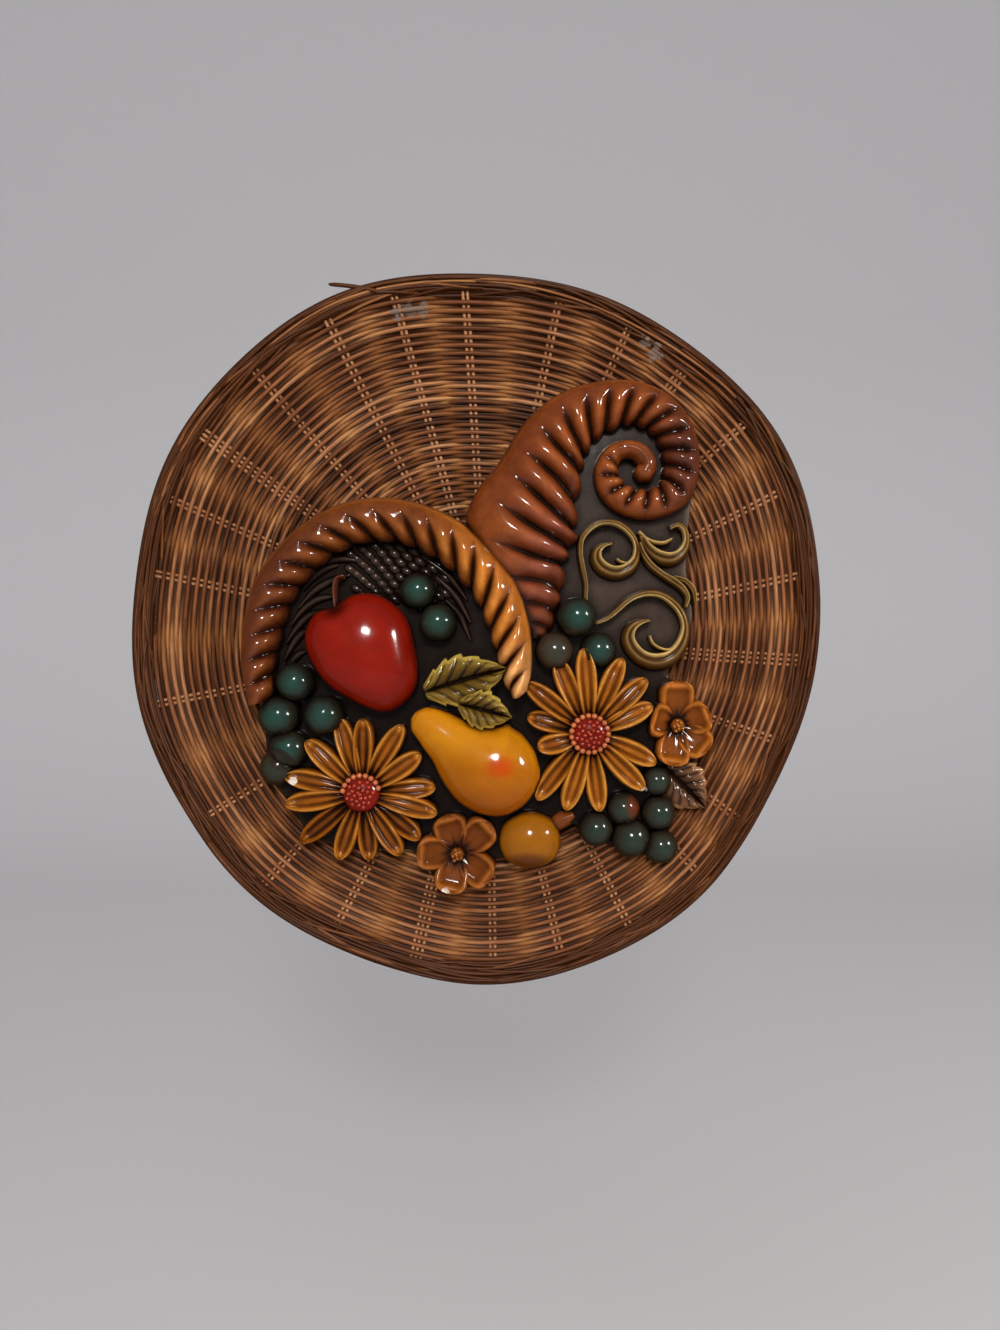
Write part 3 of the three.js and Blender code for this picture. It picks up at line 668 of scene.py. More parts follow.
def lobed_bar(parts, glaze, line, base, top, lobes, groove, slant, reach, bow=0.0,
              smooth_from=2.0, roundness=0.55):
    """A bar whose inner side swells into slanting lobes while its outer side stays smooth.

    `slant` and `reach` are tables by the place along the bar. The grooves grow and widen between
    the two shares of the width in `reach`. Lobes fade out at `smooth_from` along the bar, and a
    smaller `roundness` makes them squarer, with thinner grooves.
    """
    path = Path(line)
    phase = np.linspace(0, 1, lobes * LOBE_ROWS + 1)
    stations = path.station(phase)
    half = path.at(stations)[2][:, None]
    turn = np.linspace(0, np.pi, LOBE_COLUMNS + 1)
    across = np.cos(turn)[None, :]
    lean = np.interp(phase, *slant)[:, None]
    shift = -(lean * across + bow * ((1 - across) / 2) ** 2) * half
    places = stations[:, None] + shift
    x, y, w, ax, ay = path.at(places)
    low, high = (np.interp(phase, reach[0], values)[:, None] for values in reach[1:])
    side = smoothstep(low, high, across)
    wave = np.abs(np.sin(np.pi * lobes * phase))[:, None]
    fade = 1 - smoothstep(smooth_from - 0.1, smooth_from + 0.02, phase)[:, None]
    lobe = 1 - (1 - wave ** (roundness + 0.35 * side)) * fade
    depth = groove * (1 - lobe) * side
    width = w * across * (1 - 0.4 * depth * np.maximum(across, 0))
    relief = np.sin(turn)[None, :] ** 0.85 * (1 - depth)
    level = base + (top(w, places / path.total) - base) * relief
    rings = relief_points(x + ay * width, y - ax * width, level)
    line_side = smoothstep(low - 0.25, high - 0.3, across)
    # Painted highlight along the lobes' crests; pooled glaze and painted shade in the grooves, over the
    # inner side and along both edges.
    shades = 0.3 * wave ** 3 * side * fade - 0.75 * (1 - lobe) ** 1.3 * line_side
    shades = shades - 0.35 * smoothstep(0.35, 0.75, across) * side
    shades = shades - 0.6 * smoothstep(0.8, 1.0, np.abs(across))
    parts.loft(glaze, *with_feet(rings, np.clip(shades, -1, 1)))


def dome(parts, glaze, outline, centre, base, top, segments=64, rings=18, roundness=2.0, dimple=None):
    """A dome over an outline that is given by points."""
    edge = spline(outline, closed=True)
    looped = np.concatenate([edge, edge[:1]])
    length = lengths(looped)
    at = np.linspace(0, length[-1], segments, endpoint=False)
    rim = np.stack([np.interp(at, length, looped[:, i]) for i in range(2)], axis=1)
    centre = np.asarray(centre, float)
    layers = []
    shades = []

    def ring(size, level, shade):
        x, y = (centre + (rim - centre) * size).T
        pit = np.zeros(segments)
        if dimple:
            (dx, dy), reach, deep = dimple
            pit = np.exp(-(np.hypot(x - dx, y - dy) / reach) ** 2)
            level = level - deep * pit
        layers.append(relief_points(x, y, level))
        shades.append(shade - pit)

    # Painted shade darkens the dome toward its outline and its foot. Its dimple darkens with pooled glaze
    # and painted shade.
    ring(1.0, base, -1.0)
    layers[0] = on_panel(layers[0])
    for i in range(rings):
        size = math.cos(math.pi / 2 * i / rings)
        level = base + (top - base) * (1 - size ** roundness) ** (1 / roundness)
        ring(size, level, float(-0.4 * smoothstep(0.55, 0.9, size) - 0.6 * smoothstep(0.88, 1.0, size)))
    ring(0.02, top, 0.0)
    parts.loft(glaze, layers, np.array(shades))


def bead(parts, glaze, x, y, level, radius, flatten=1.0, lean=0.0, stretch=1.0):
    """A small bead, in shares, that may be drawn out along a direction."""
    turn = np.linspace(0, 2 * np.pi, BEAD_SIDES, endpoint=False)[None, :]
    tilt = np.linspace(-np.pi / 2 + 0.2, np.pi / 2 - 0.2, BEAD_SIDES // 2 + 1)[:, None]
    u = np.cos(tilt) * np.cos(turn) * radius * stretch
    v = np.cos(tilt) * np.sin(turn) * radius
    rise = np.sin(tilt) * radius * flatten * SHARE / CASTING_DEPTH
    rings = relief_points(x + u * math.cos(lean) - v * math.sin(lean),
                          y + u * math.sin(lean) + v * math.cos(lean), level + rise)
    # Pooled glaze and painted shade toward each bead's foot, with a painted highlight on its top.
    shades = np.interp(np.sin(tilt), [0.1, 0.6, 1.0], [-1, 0, 0.6]) + np.zeros_like(u)
    parts.loft(glaze, rings, shades)


def blade(parts, glaze, root, degrees, start, reach, width, levels, form, shape, arch=0.0,
          stations=30, columns=26, bend=0.0, dark=0.0):
    """A petal or a leaf. `shape` gives the share of its width, and `form` its relief and shade."""
    tt, vv = np.meshgrid(np.linspace(0, 1, stations) ** 0.85, np.linspace(-1, 1, columns), indexing="ij")
    run = start + (reach - start) * tt
    sideways = vv * shape(tt, vv) * width / 2 + bend * tt ** 2
    c, s = math.cos(math.radians(degrees)), math.sin(math.radians(degrees))
    relief, shades = form(tt, vv)
    level = levels[0] + (levels[1] - levels[0]) * tt + arch * np.sin(np.pi * tt)
    rings = relief_points(root[0] + run * c - sideways * s, root[1] + run * s + sideways * c,
                          np.minimum(level + relief, 0.995))
    parts.loft(glaze, *with_feet(rings, np.clip(shades - dark, -1, 1)))


# The lines and places of the relief, as in the CAD model

GROUND_OUTLINE = [
    (-45.0, -2.2), (-44.6, 5.7), (-42.0, 12.0), (-38.0, 17.4), (-32.3, 22.0), (-25.9, 24.3),
    (-18.0, 24.7), (-9.2, 23.4), (-1.3, 21.0), (2.5, 22.6), (5.5, 29.3), (7.2, 36.0),
    (12.5, 43.4), (24.3, 47.8), (35.6, 46.0), (42.0, 39.8), (43.4, 32.0), (42.6, 26.7),
    (41.8, 20.0), (41.4, 14.0), (41.6, 8.6), (42.6, 3.0), (40.8, -3.2), (37.6, -8.8),
    (42.0, -13.0), (43.6, -21.0), (42.6, -28.0), (43.0, -33.4), (37.2, -35.0), (37.4, -43.0),
    (31.0, -43.8), (24.0, -41.8), (18.0, -38.4), (14.4, -42.6), (8.6, -45.6), (3.4, -45.4),
    (1.4, -49.0), (-4.4, -50.6), (-9.4, -47.8), (-12.4, -44.0), (-19.0, -43.6), (-27.0, -43.2),
    (-33.2, -40.4), (-37.0, -34.0), (-39.8, -30.6), (-41.6, -22.9), (-41.8, -17.0), (-43.8, -8.1),
]
HORN_LINE = [
    (12.2, -2.0, 2.0), (11.7, 1.6, 4.2), (10.4, 7.0, 7.2), (8.8, 13.0, 9.6), (9.1, 20.2, 11.2),
    (12.2, 29.0, 8.7), (15.4, 36.6, 7.1), (20.6, 41.6, 5.8), (29.4, 44.1, 4.5), (35.4, 42.2, 4.1),
    (38.9, 37.7, 3.9), (40.0, 31.5, 3.7), (38.6, 26.8, 3.5), (35.0, 24.6, 3.2), (30.4, 24.6, 3.0),
    (26.7, 27.0, 2.8), (25.4, 30.7, 2.5), (26.6, 33.8, 2.1), (29.3, 35.0, 1.9), (32.0, 34.1, 2.0),
    (33.3, 31.9, 2.05), (32.7, 30.3, 2.0),
]
HORN_TOP = 0.92
HORN_THIN_TOP = 0.4
HORN_RIBS = 28
HORN_TIP = (32.75, 30.45)
RING_LINE = [
    (-41.4, -14.6, 2.9), (-42.3, -7.1, 3.4), (-41.7, -1.3, 3.9), (-39.6, 7.0, 4.3),
    (-35.3, 13.2, 4.4), (-29.0, 18.4, 4.4), (-21.7, 21.0, 4.4), (-13.9, 20.7, 4.4),
    (-7.1, 18.0, 4.5), (-0.9, 13.5, 4.6), (4.0, 7.1, 4.5), (6.3, 0.7, 4.2), (7.4, -5.2, 3.7),
    (7.9, -10.4, 2.7), (8.3, -13.4, 1.3),
]
RING_TOP = 0.78
RING_ARM_TOP = 0.92
RING_LOBES = 20
BAR_BASE = 0.2
THINNING = 0.7
SCROLL_BASE = 0.14
SCROLL_TOP = 0.44
HOOK_TOP = 0.42
SCROLL_LINES = [
    [(21.1, 4.8, 0.5), (21.3, 8.4, 0.5), (20.7, 11.7, 0.6), (20.2, 14.8, 0.6), (20.5, 17.6, 0.7),
     (21.9, 19.4, 0.7), (23.8, 20.6, 0.7), (26.0, 20.9, 0.7), (28.2, 20.3, 0.8), (30.1, 18.8, 0.8),
     (31.3, 16.8, 0.8), (31.5, 14.4, 1.0), (30.5, 12.3, 1.3), (28.7, 11.1, 1.5), (26.6, 10.9, 1.5),
     (24.5, 11.9, 1.5), (23.4, 13.6, 1.3), (23.6, 15.3, 1.0), (24.8, 16.3, 0.6), (26.4, 16.7, 0.3)],
    [(32.1, 18.0, 0.7), (33.2, 15.8, 1.2), (35.4, 14.0, 1.5), (38.0, 13.5, 1.5), (40.1, 14.6, 1.2),
     (41.2, 17.0, 0.9), (40.8, 19.3, 0.8), (39.4, 20.4, 0.6), (37.8, 19.7, 0.4)],
    [(31.6, 16.6, 0.5), (32.5, 14.4, 0.6), (34.0, 12.3, 0.7), (36.2, 10.5, 0.7), (38.3, 9.2, 0.8),
     (40.1, 7.8, 0.7), (41.1, 6.0, 0.5), (40.7, 4.2, 0.3)],
    [(38.5, 9.9, 0.5), (40.7, 9.1, 0.6), (42.2, 7.4, 0.6), (42.6, 5.0, 0.3)],
    [(23.2, 1.1, 0.4), (25.4, 2.0, 0.5), (27.4, 3.6, 0.6), (29.1, 5.2, 0.7), (31.1, 6.4, 0.7),
     (33.4, 7.0, 0.8), (36.0, 6.7, 0.8), (38.1, 5.5, 0.9), (39.9, 3.6, 1.0), (40.9, 0.9, 1.0),
     (40.7, -1.8, 1.3), (39.4, -4.4, 1.6), (37.3, -6.1, 1.8), (34.6, -6.5, 1.8), (32.2, -5.7, 1.7),
     (30.3, -3.8, 1.6), (29.6, -1.6, 1.4), (30.3, 0.2, 1.1), (31.9, 1.3, 0.7), (33.8, 1.7, 0.3)],
]
TURNING_LEFT = (1, 2, 3)
HOOK_LINES = [
    [(30.9, 15.2, 0.4), (30.6, 13.6, 0.4), (29.5, 12.8, 0.4), (28.2, 13.0, 0.4), (27.4, 13.6, 0.3)],
    [(31.7, 18.9, 0.5), (33.2, 17.5, 0.5), (35.2, 16.8, 0.5), (36.8, 16.8, 0.5), (38.1, 17.5, 0.3)],
    [(40.1, -1.1, 0.4), (39.2, -3.1, 0.4), (37.6, -4.1, 0.4), (35.8, -3.8, 0.4), (34.4, -2.8, 0.4),
     (33.8, -1.4, 0.3)],
]
MOUTH_STRANDS = [
    [(-27.4, 12.5), (-30.0, 11.7), (-32.3, 10.0), (-34.2, 7.5)],
    [(-24.9, 10.6), (-28.7, 9.4), (-31.9, 7.5), (-35.0, 4.1)],
    [(-27.7, 6.4), (-31.2, 5.8), (-34.0, 3.9), (-36.5, 0.7)],
    [(-29.3, 3.7), (-32.9, 2.6), (-35.3, 0.3), (-37.4, -2.8)],
    [(-32.3, -0.1), (-34.4, -0.9), (-36.1, -2.9), (-37.8, -6.2)],
    [(-33.4, -4.3), (-35.2, -5.2), (-36.7, -6.9), (-38.2, -9.6)],
    [(-23.5, 13.4), (-26.6, 13.8), (-29.6, 13.2), (-32.3, 11.7)],
    [(-9.7, 13.6), (-5.3, 10.2), (-1.8, 5.6)],
    [(-7.9, 10.2), (-4.1, 6.4), (-1.1, 1.1)],
    [(-6.0, 5.6), (-3.4, 2.8), (-1.1, -2.4)],
]
APPLE_OUTLINE = [
    (-33.2, -2.3), (-31.4, 2.6), (-27.3, 4.6), (-23.4, 6.6), (-18.8, 6.4), (-13.8, 2.4),
    (-12.0, -3.7), (-11.6, -11.0), (-14.4, -14.8), (-17.8, -16.2), (-24.4, -13.8), (-30.0, -9.5),
]
APPLE_STEM = [(-27.2, 3.4, 0.45), (-27.6, 7.0, 0.45), (-27.2, 9.6, 0.5), (-25.8, 10.2, 0.4)]
PEAR_LINE = [
    (-12.2, -17.0, 0.9), (-11.2, -17.6, 2.6), (-8.6, -19.2, 3.9), (-5.2, -21.8, 5.2),
    (-1.6, -24.6, 7.4), (1.6, -26.6, 8.8), (4.6, -27.6, 9.0), (8.0, -28.0, 7.6),
    (10.8, -28.2, 4.8), (12.3, -28.3, 1.2),
]
SMALL_FRUIT_OUTLINE = [
    (16.4, -41.3), (15.0, -37.6), (10.4, -35.8), (5.9, -37.6), (4.4, -41.3), (5.9, -45.2),
    (10.4, -46.8), (15.0, -45.2),
]
FRUIT_STUB = [(14.6, -38.8, 1.4), (17.0, -37.4, 1.6), (19.0, -36.4, 0.8)]
GRAPES = [
    (-11.4, 7.3, 3.5, 0.34), (-7.5, 1.1, 3.7, 0.36), (-35.2, -10.5, 3.8, 0.38),
    (-38.4, -17.1, 4.1, 0.36), (-29.6, -16.9, 3.9, 0.38), (-36.4, -23.4, 3.8, 0.34),
    (-38.8, -27.2, 3.7, 0.24), (19.5, 2.2, 3.9, 0.42), (15.2, -4.4, 3.8, 0.34),
    (23.8, -4.2, 3.6, 0.3), (35.1, -29.8, 2.9, 0.3), (28.7, -35.1, 3.2, 0.32),
    (35.5, -36.0, 3.3, 0.32), (23.4, -39.2, 3.4, 0.28), (30.2, -40.9, 3.8, 0.3),
    (36.0, -42.6, 3.4, 0.28),
]
# Daisies: [direction, reach, how much darker it is] for each petal
DAISIES = [
    ((-22.1, -31.9), [
        (4, 14.3, 0.1), (32, 13.7, 0), (61, 15.3, 0), (88, 14.4, 0.3), (108, 15.1, 0),
        (138, 14.8, 0), (166, 15.3, 0.1), (190, 15, 0.1), (218, 15.3, 0.55), (250, 13.6, 0.2),
        (278, 13.2, 0.35), (300, 14.2, 0.3), (322, 14.4, 0.4), (345, 15.1, 0.1),
    ]),
    ((21.9, -20.4), [
        (22, 13.5, 0), (44, 15.4, 0.3), (67, 16, 0.05), (92, 16.6, 0.05), (115, 16, 0.05),
        (141, 15.7, 0.35), (164, 12.4, 0.4), (198, 10.4, 0.2), (230, 16.4, 0.15), (254, 15.5, 0),
        (278, 15.3, 0), (313, 15.1, 0), (338, 14.2, 0),
    ]),
]
DAISY_BUTTON = 3.7
PETAL_WIDTH = 4.35
SMALL_FLOWERS = [
    ((-3.7, -44.0), [(105, 8.0), (42, 8.9), (-38, 8.1), (-103, 7.6), (178, 7.9)]),
    ((39.2, -18.9), [(90, 8.8), (20, 6.6), (-41, 7.5), (-98, 7.9), (164, 5.4)]),
]
BROAD_PETAL_WIDTH = 7.2
GOLDEN_TURN = 2.39996
# Leaves: glaze, root, direction, length, width, levels at root and tip, stations, columns, bend
LEAVES = [
    ("leaf", (-9.8, -12.4), 19, 16.6, 9.0, (0.5, 0.66), 70, 44, -0.8),
    ("leaf", (-3.2, -14.6), -14, 10.4, 6.8, (0.62, 0.8), 60, 36, 0.0),
    ("dark_leaf", (37.0, -27.2), -45, 11.2, 9.0, (0.28, 0.22), 60, 36, 0.0),
]


def circle(x, y, radius):
    return [(x + radius * math.cos(a), y + radius * math.sin(a))
            for a in np.radians([0, 60, 120, 180, 240, 300])]


GROUND_MIDDLE = np.array([8.0, 0.0])


def add_ground(parts):
    """The slab behind the relief: its rounded edge, then flat rings that close in on its middle."""
    edge = spline(GROUND_OUTLINE, closed=True, fine=8) * SHARE
    ahead = np.roll(edge, -1, axis=0) - np.roll(edge, 1, axis=0)
    ahead /= np.linalg.norm(ahead, axis=1)[:, None]
    inward = np.stack([ahead[:, 1], -ahead[:, 0]], axis=1)
    height = GROUND_LEVEL * CASTING_DEPTH
    flat = np.full(len(edge), height)
    layers = [on_panel(np.column_stack([edge, flat]))]
    for turn in np.linspace(0, np.pi / 2, 5):
        inset = GROUND_ROUNDING * (1 - math.cos(turn))
        layers.append(np.column_stack([
            edge + inward * inset,
            flat - GROUND_ROUNDING * (1 - math.sin(turn)),
        ]))
    rim = edge + inward * (GROUND_ROUNDING + 0.3)
    middle = GROUND_MIDDLE * SHARE
    for size in np.linspace(1, 0.01, 44):
        layers.append(np.column_stack([middle + (rim - middle) * size, flat]))
    parts.loft("ground", layers)


def horn_top(width, along):
    widest = max(half for _, _, half in HORN_LINE)
    level = HORN_THIN_TOP + (HORN_TOP - HORN_THIN_TOP) * (width / widest) ** THINNING
    return level * (0.62 + 0.38 * smoothstep(0.03, 0.2, along))


def ring_top(width, along):
    return RING_TOP + (RING_ARM_TOP - RING_TOP) * smoothstep(0.52, 0.72, along)


def add_horn(parts):
    lobed_bar(
        parts, "horn", HORN_LINE, BAR_BASE, horn_top, HORN_RIBS, groove=0.38, bow=0.35,
        smooth_from=0.9,
        slant=([0, 0.4, 0.7, 1], [0.55, 0.5, 0.35, 0.4]),
        reach=([0, 0.35, 0.6, 1], [-0.7, -0.6, -0.9, -1.1], [0.2, 0.2, 0.0, -0.1]),
    )
    dome(parts, "horn", circle(*HORN_TIP, 2.05), HORN_TIP, 0.3, 0.558, segments=40, rings=12)


def add_ring(parts):
    lobed_bar(
        parts, "ring", RING_LINE, BAR_BASE, ring_top, RING_LOBES, groove=0.42,
        roundness=0.36,
        slant=([0, 0.3, 0.5, 1], [-0.45, -0.6, -0.85, -0.95]),
        reach=([0, 0.55, 0.75, 1], [-0.45, -0.4, -0.7, -0.8], [0.45, 0.5, 0.4, 0.4]),
    )


# Across a scroll's band, from its outer to its inner edge: place, share of the relief, shade. A painted
# highlight runs along the inner ridge, and painted shade with pooled glaze covers the outer side.
SCROLL_SECTION = (
    [-1, -0.85, -0.5, -0.1, 0.3, 0.55, 0.75, 0.92, 1],
    [0, 0.36, 0.66, 0.78, 0.68, 0.9, 1.0, 0.72, 0],
    [-1, -0.85, -0.45, -0.05, -0.3, 0.35, 1.0, 0.3, -1],
)


def add_scrolls(parts):
    places, reliefs, shades = SCROLL_SECTION
    mirrored = ([-place for place in places[::-1]], reliefs[::-1], shades[::-1])
    # Hooks: painted highlight along the crest, pooled glaze and painted shade at the edges.
    hook = ([-1, -0.6, 0, 0.6, 1], [0, 0.8, 1, 0.8, 0], [-1, 0.3, 0.9, 0.3, -1])
    for i, line in enumerate(SCROLL_LINES):
        section = mirrored if i in TURNING_LEFT else SCROLL_SECTION
        bar(parts, "scroll", line, SCROLL_BASE, SCROLL_TOP, len(line) * 10, 26, section)
    for line in HOOK_LINES:
        bar(parts, "scroll", line, SCROLL_BASE, HOOK_TOP, len(line) * 10, 14, hook)


MOUTH_LEVEL = 0.23
BEAD_COLUMN = 2.5
BEAD_ROW = 1.5


def add_mouth_weave(parts):
    """Carved basket work inside the mouth: scales at the top and long strands at the sides."""
    # Painted highlight along each strand's crest, with pooled glaze and painted shade at its edges.
    section = ([-1, -0.6, 0, 0.6, 1], [0, 0.8, 1, 0.8, 0], [-1, -0.3, 0.5, -0.4, -1])
    for line in MOUTH_STRANDS:
        widths = np.interp(np.linspace(0, 1, len(line)), [0, 0.3, 0.8, 1], [0.5, 1.05, 1.0, 0.4])
        places = [(x, y, float(width)) for (x, y), width in zip(line, widths)]
        bar(parts, "mouth", places, GROUND_LEVEL - 0.02, MOUTH_LEVEL, 30, 12, section)
    for row in range(8):
        for column in range(9):
            x = -27.4 + BEAD_COLUMN * (column + 0.5 * (row % 2))
            y = 16.4 - BEAD_ROW * row - 0.035 * (x + 18) ** 2
            if x >= -25.5 + 0.2 * row:
                bead(parts, "mouth", x, y, GROUND_LEVEL, 0.95, flatten=0.8, lean=-0.65, stretch=1.6)


# Across the pear: place, share of the relief, shade, which is painted shade that darkens toward its sides
ROUND = np.cos(np.linspace(np.pi, 0, 57))
PEAR_SECTION = (
    ROUND,
    np.sqrt(np.maximum(0, 1 - ROUND ** 2)),
    -0.4 * smoothstep(0.55, 0.9, np.abs(ROUND)) - 0.6 * smoothstep(0.88, 1.0, np.abs(ROUND)),
)


def add_fruit(parts):
    widest = max(width for _, _, width in PEAR_LINE)
    dome(parts, "apple", APPLE_OUTLINE, (-22.4, -4.4), 0.4, 0.995, segments=96, rings=26,
         roundness=2.2, dimple=((-27.4, 4.2), 2.0, 0.1))
    bar(parts, "stem", APPLE_STEM, BAR_BASE, 0.52, 24, 10)
    bar(parts, "pear", PEAR_LINE, 0.4,
        lambda width: 0.4 + 0.57 * (width / widest) ** THINNING, 110, 56, PEAR_SECTION)
    dome(parts, "small_fruit", SMALL_FRUIT_OUTLINE, (10.4, -41.3), 0.3, 0.66)
    bar(parts, "stub", FRUIT_STUB, BAR_BASE, 0.36, 24, 16)
    for x, y, radius, base in GRAPES:
        dome(parts, "grape", circle(x, y, radius), (x, y), base,
             base + radius * SHARE / CASTING_DEPTH, segments=44, rings=14)


def swelling(value, middle, width):
    return np.exp(-((value - middle) / width) ** 2)


def rounded_shape(t, foot, widest, shoulder, power, least):
    """Share of its width along a petal that grows from its foot and ends in a rounded tip."""
    grow = foot + (1 - foot) * np.sin(unit(t / widest) * np.pi / 2)
    end = np.sqrt(unit(1 - unit((t - shoulder) / (1 - shoulder)) ** power))
    return np.maximum(grow * end, least)


def petal_shape(t, v):
    return rounded_shape(t, 0.4, 0.6, 0.6, 2.2, 0.05)


def petal_form(t, v):
    side = np.abs(v)
    rim = swelling(side, 0.74, 0.2)
    groove = swelling(side, 0.36, 0.12) * unit(1.1 - t) ** 0.7
    middle = swelling(v, 0, 0.2) * unit(1 - t)
    edge = unit((side - 0.84) / 0.16) ** 2
    tip = swelling(t, 0.93, 0.07) * (1 - side)
    relief = 0.07 * rim - 0.035 * groove + 0.015 * middle - 0.1 * edge + 0.05 * tip
    # Painted highlight on the rims and tip; darker grooves; pooled glaze and painted shade along the edges
    # and toward the foot.
    shade = 0.3 * rim + 0.4 * tip - 0.32 * groove - 1.1 * edge - 0.8 * smoothstep(0.34, 0.05, t)
    return relief, shade


def broad_shape(t, v):
    return rounded_shape(t, 0.34, 0.55, 0.64, 2.6, 0.06)


def broad_form(t, v):
    side = np.abs(v)
    cup = swelling(side, 0.76, 0.18) * np.sin(np.pi * unit(t * 0.6))
    lip = swelling(t, 0.86, 0.1) * (1 - side ** 4)
    rays = unit(np.cos(v * 11)) * unit(1 - t * 1.6)
    edge = unit((side - 0.84) / 0.16) ** 2
    relief = 0.08 * cup + 0.08 * lip - 0.02 * rays - 0.12 * edge
    # Painted highlight on the lip and cupped sides; darker rays; pooled glaze and painted shade along the
    # edges and toward the foot.
    shade = 0.4 * lip + 0.35 * cup - 0.4 * rays - 1.2 * edge - 0.8 * smoothstep(0.42, 0.1, t)
    return relief, shade


def leaf_shape(t, v):
    grow = 0.3 + 0.7 * np.sin(unit(t / 0.45) * np.pi / 2)
    end = unit(1 - unit((t - 0.45) / 0.55) ** 1.6)
    teeth = 1 + 0.2 * ((t * 5.5) % 1.0) * unit(np.abs(v) * 2 - 1)
    return np.maximum(grow * end * teeth, 0.04)


def leaf_form(t, v):
    side = np.abs(v)
    vein = swelling((t * 6 - side * 1.5) % 1.0, 0.5, 0.15) * unit(side * 5) * unit((1 - side) * 5)
    midrib = swelling(v, 0, 0.09)
    relief = 0.09 * np.sin(np.pi * unit(side)) ** 0.8 - 0.06 * midrib - 0.03 * vein
    # Pale edges with painted highlight; dark midrib and veins; pooled glaze and painted shade inside the
    # cupped leaf, most on one half.
    inner = smoothstep(0.65, 0.15, side) * np.where(v > 0, 0.75, 0.3)
    return relief, 0.9 * smoothstep(0.8, 0.95, side) - 0.9 * midrib - 0.4 * vein - inner


def add_seeds(parts, glaze, x, y, count, spacing, radius, level, fall=0.0, flatten=1.0):
    """Small beads in a spiral, which may fall away from its middle."""
    for k in range(count):
        turn = k * GOLDEN_TURN
        out = spacing * math.sqrt(k)
        bead(parts, glaze, x + out * math.cos(turn), y + out * math.sin(turn),
             level - fall * out ** 2, radius, flatten=flatten)


def add_daisies(parts):
    for flower, ((x, y), petals) in enumerate(DAISIES):
        for i, (degrees, reach, dark) in enumerate(petals):
            level = (i % 2) * 0.05 - 0.06 * dark
            bend = 0.5 * math.sin(2.4 * i + flower)
            blade(parts, "petal", (x, y), degrees, DAISY_BUTTON * 0.6, reach, PETAL_WIDTH,
                  (0.42 + level, 0.4 + level), petal_form, petal_shape, arch=0.05, bend=bend,
                  dark=dark + 0.15 * (flower == 0))
        dome(parts, "button", circle(x, y, DAISY_BUTTON), (x, y), 0.5, 0.68, segments=48, rings=10)
        for k in range(19):
            turn = 2 * math.pi * k / 19
            if flower == 0 and not 0.2 < turn < 3.0:
                continue
            bead(parts, "bead", x + 3.5 * math.cos(turn), y + 3.5 * math.sin(turn), 0.575, 0.6)
        add_seeds(parts, "button", x, y, 26, 0.53, 0.42, 0.685, fall=0.008, flatten=0.8)


def add_small_flowers(parts):
    for (x, y), petals in SMALL_FLOWERS:
        for degrees, reach in petals:
            blade(parts, "flower", (x, y), degrees, 0.6, reach, BROAD_PETAL_WIDTH,
                  (0.28, 0.4), broad_form, broad_shape)
        dome(parts, "flower", circle(x, y, 1.4), (x, y), 0.36, 0.46, segments=24, rings=8)
        add_seeds(parts, "flower", x, y, 8, 0.42, 0.36, 0.46)


def add_leaves(parts):
    for glaze, root, degrees, length, width, levels, stations, columns, bend in LEAVES:
        blade(parts, glaze, root, degrees, 0, length, width, levels, leaf_form, leaf_shape,
              stations=stations, columns=columns, bend=bend)


# Glazes: body colour, colour where it thins on edges and a highlight is painted, colour where it pools and
# shade is painted
WASH_AND_PAINTED_SHADE = srgb(24, 12, 6)
GLAZES = {
    "ground": ((54, 42, 35), (96, 82, 70), (16, 10, 7)),
    "mouth": ((25, 16, 12), (76, 58, 47), (10, 6, 4)),
    "horn": ((116, 53, 18), (178, 98, 46), (38, 15, 8)),
    "ring": ((106, 50, 16), (186, 108, 44), (44, 19, 7)),
    "scroll": ((92, 60, 24), (208, 172, 104), (30, 16, 7)),
    "apple": ((136, 22, 6), (156, 40, 20), (60, 12, 6)),
    "stem": ((70, 34, 22), (140, 78, 54), (26, 13, 8)),
    "pear": ((170, 95, 4), (204, 128, 18), (112, 50, 6)),
    "small_fruit": ((154, 92, 12), (180, 116, 26), (74, 34, 8)),
    "stub": ((104, 50, 18), (150, 82, 36), (40, 20, 10)),
    "grape": ((34, 64, 55), (50, 92, 80), (22, 14, 9)),
    "petal": ((152, 84, 16), (216, 148, 60), (56, 22, 6)),
    "button": ((136, 26, 13), (190, 74, 48), (54, 12, 6)),
    "bead": ((158, 68, 36), (206, 120, 76), (74, 18, 10)),
    "flower": ((132, 68, 16), (192, 114, 44), (36, 14, 5)),
    "leaf": ((96, 70, 18), (178, 150, 66), (28, 18, 7)),
    "dark_leaf": ((88, 56, 36), (164, 118, 78), (28, 16, 9)),
}


def blurred(grid, reach, step):
    """A grid of heights blurred over a reach, both in millimetres."""
    half = max(1, int(3 * reach / step))
    at = np.arange(-half, half + 1) * step
    kernel = np.exp(-0.5 * (at / reach) ** 2)
    kernel /= kernel.sum()
    rows = np.apply_along_axis(lambda line: np.convolve(line, kernel, mode="same"), 0, grid)
    return np.apply_along_axis(lambda line: np.convolve(line, kernel, mode="same"), 1, rows)


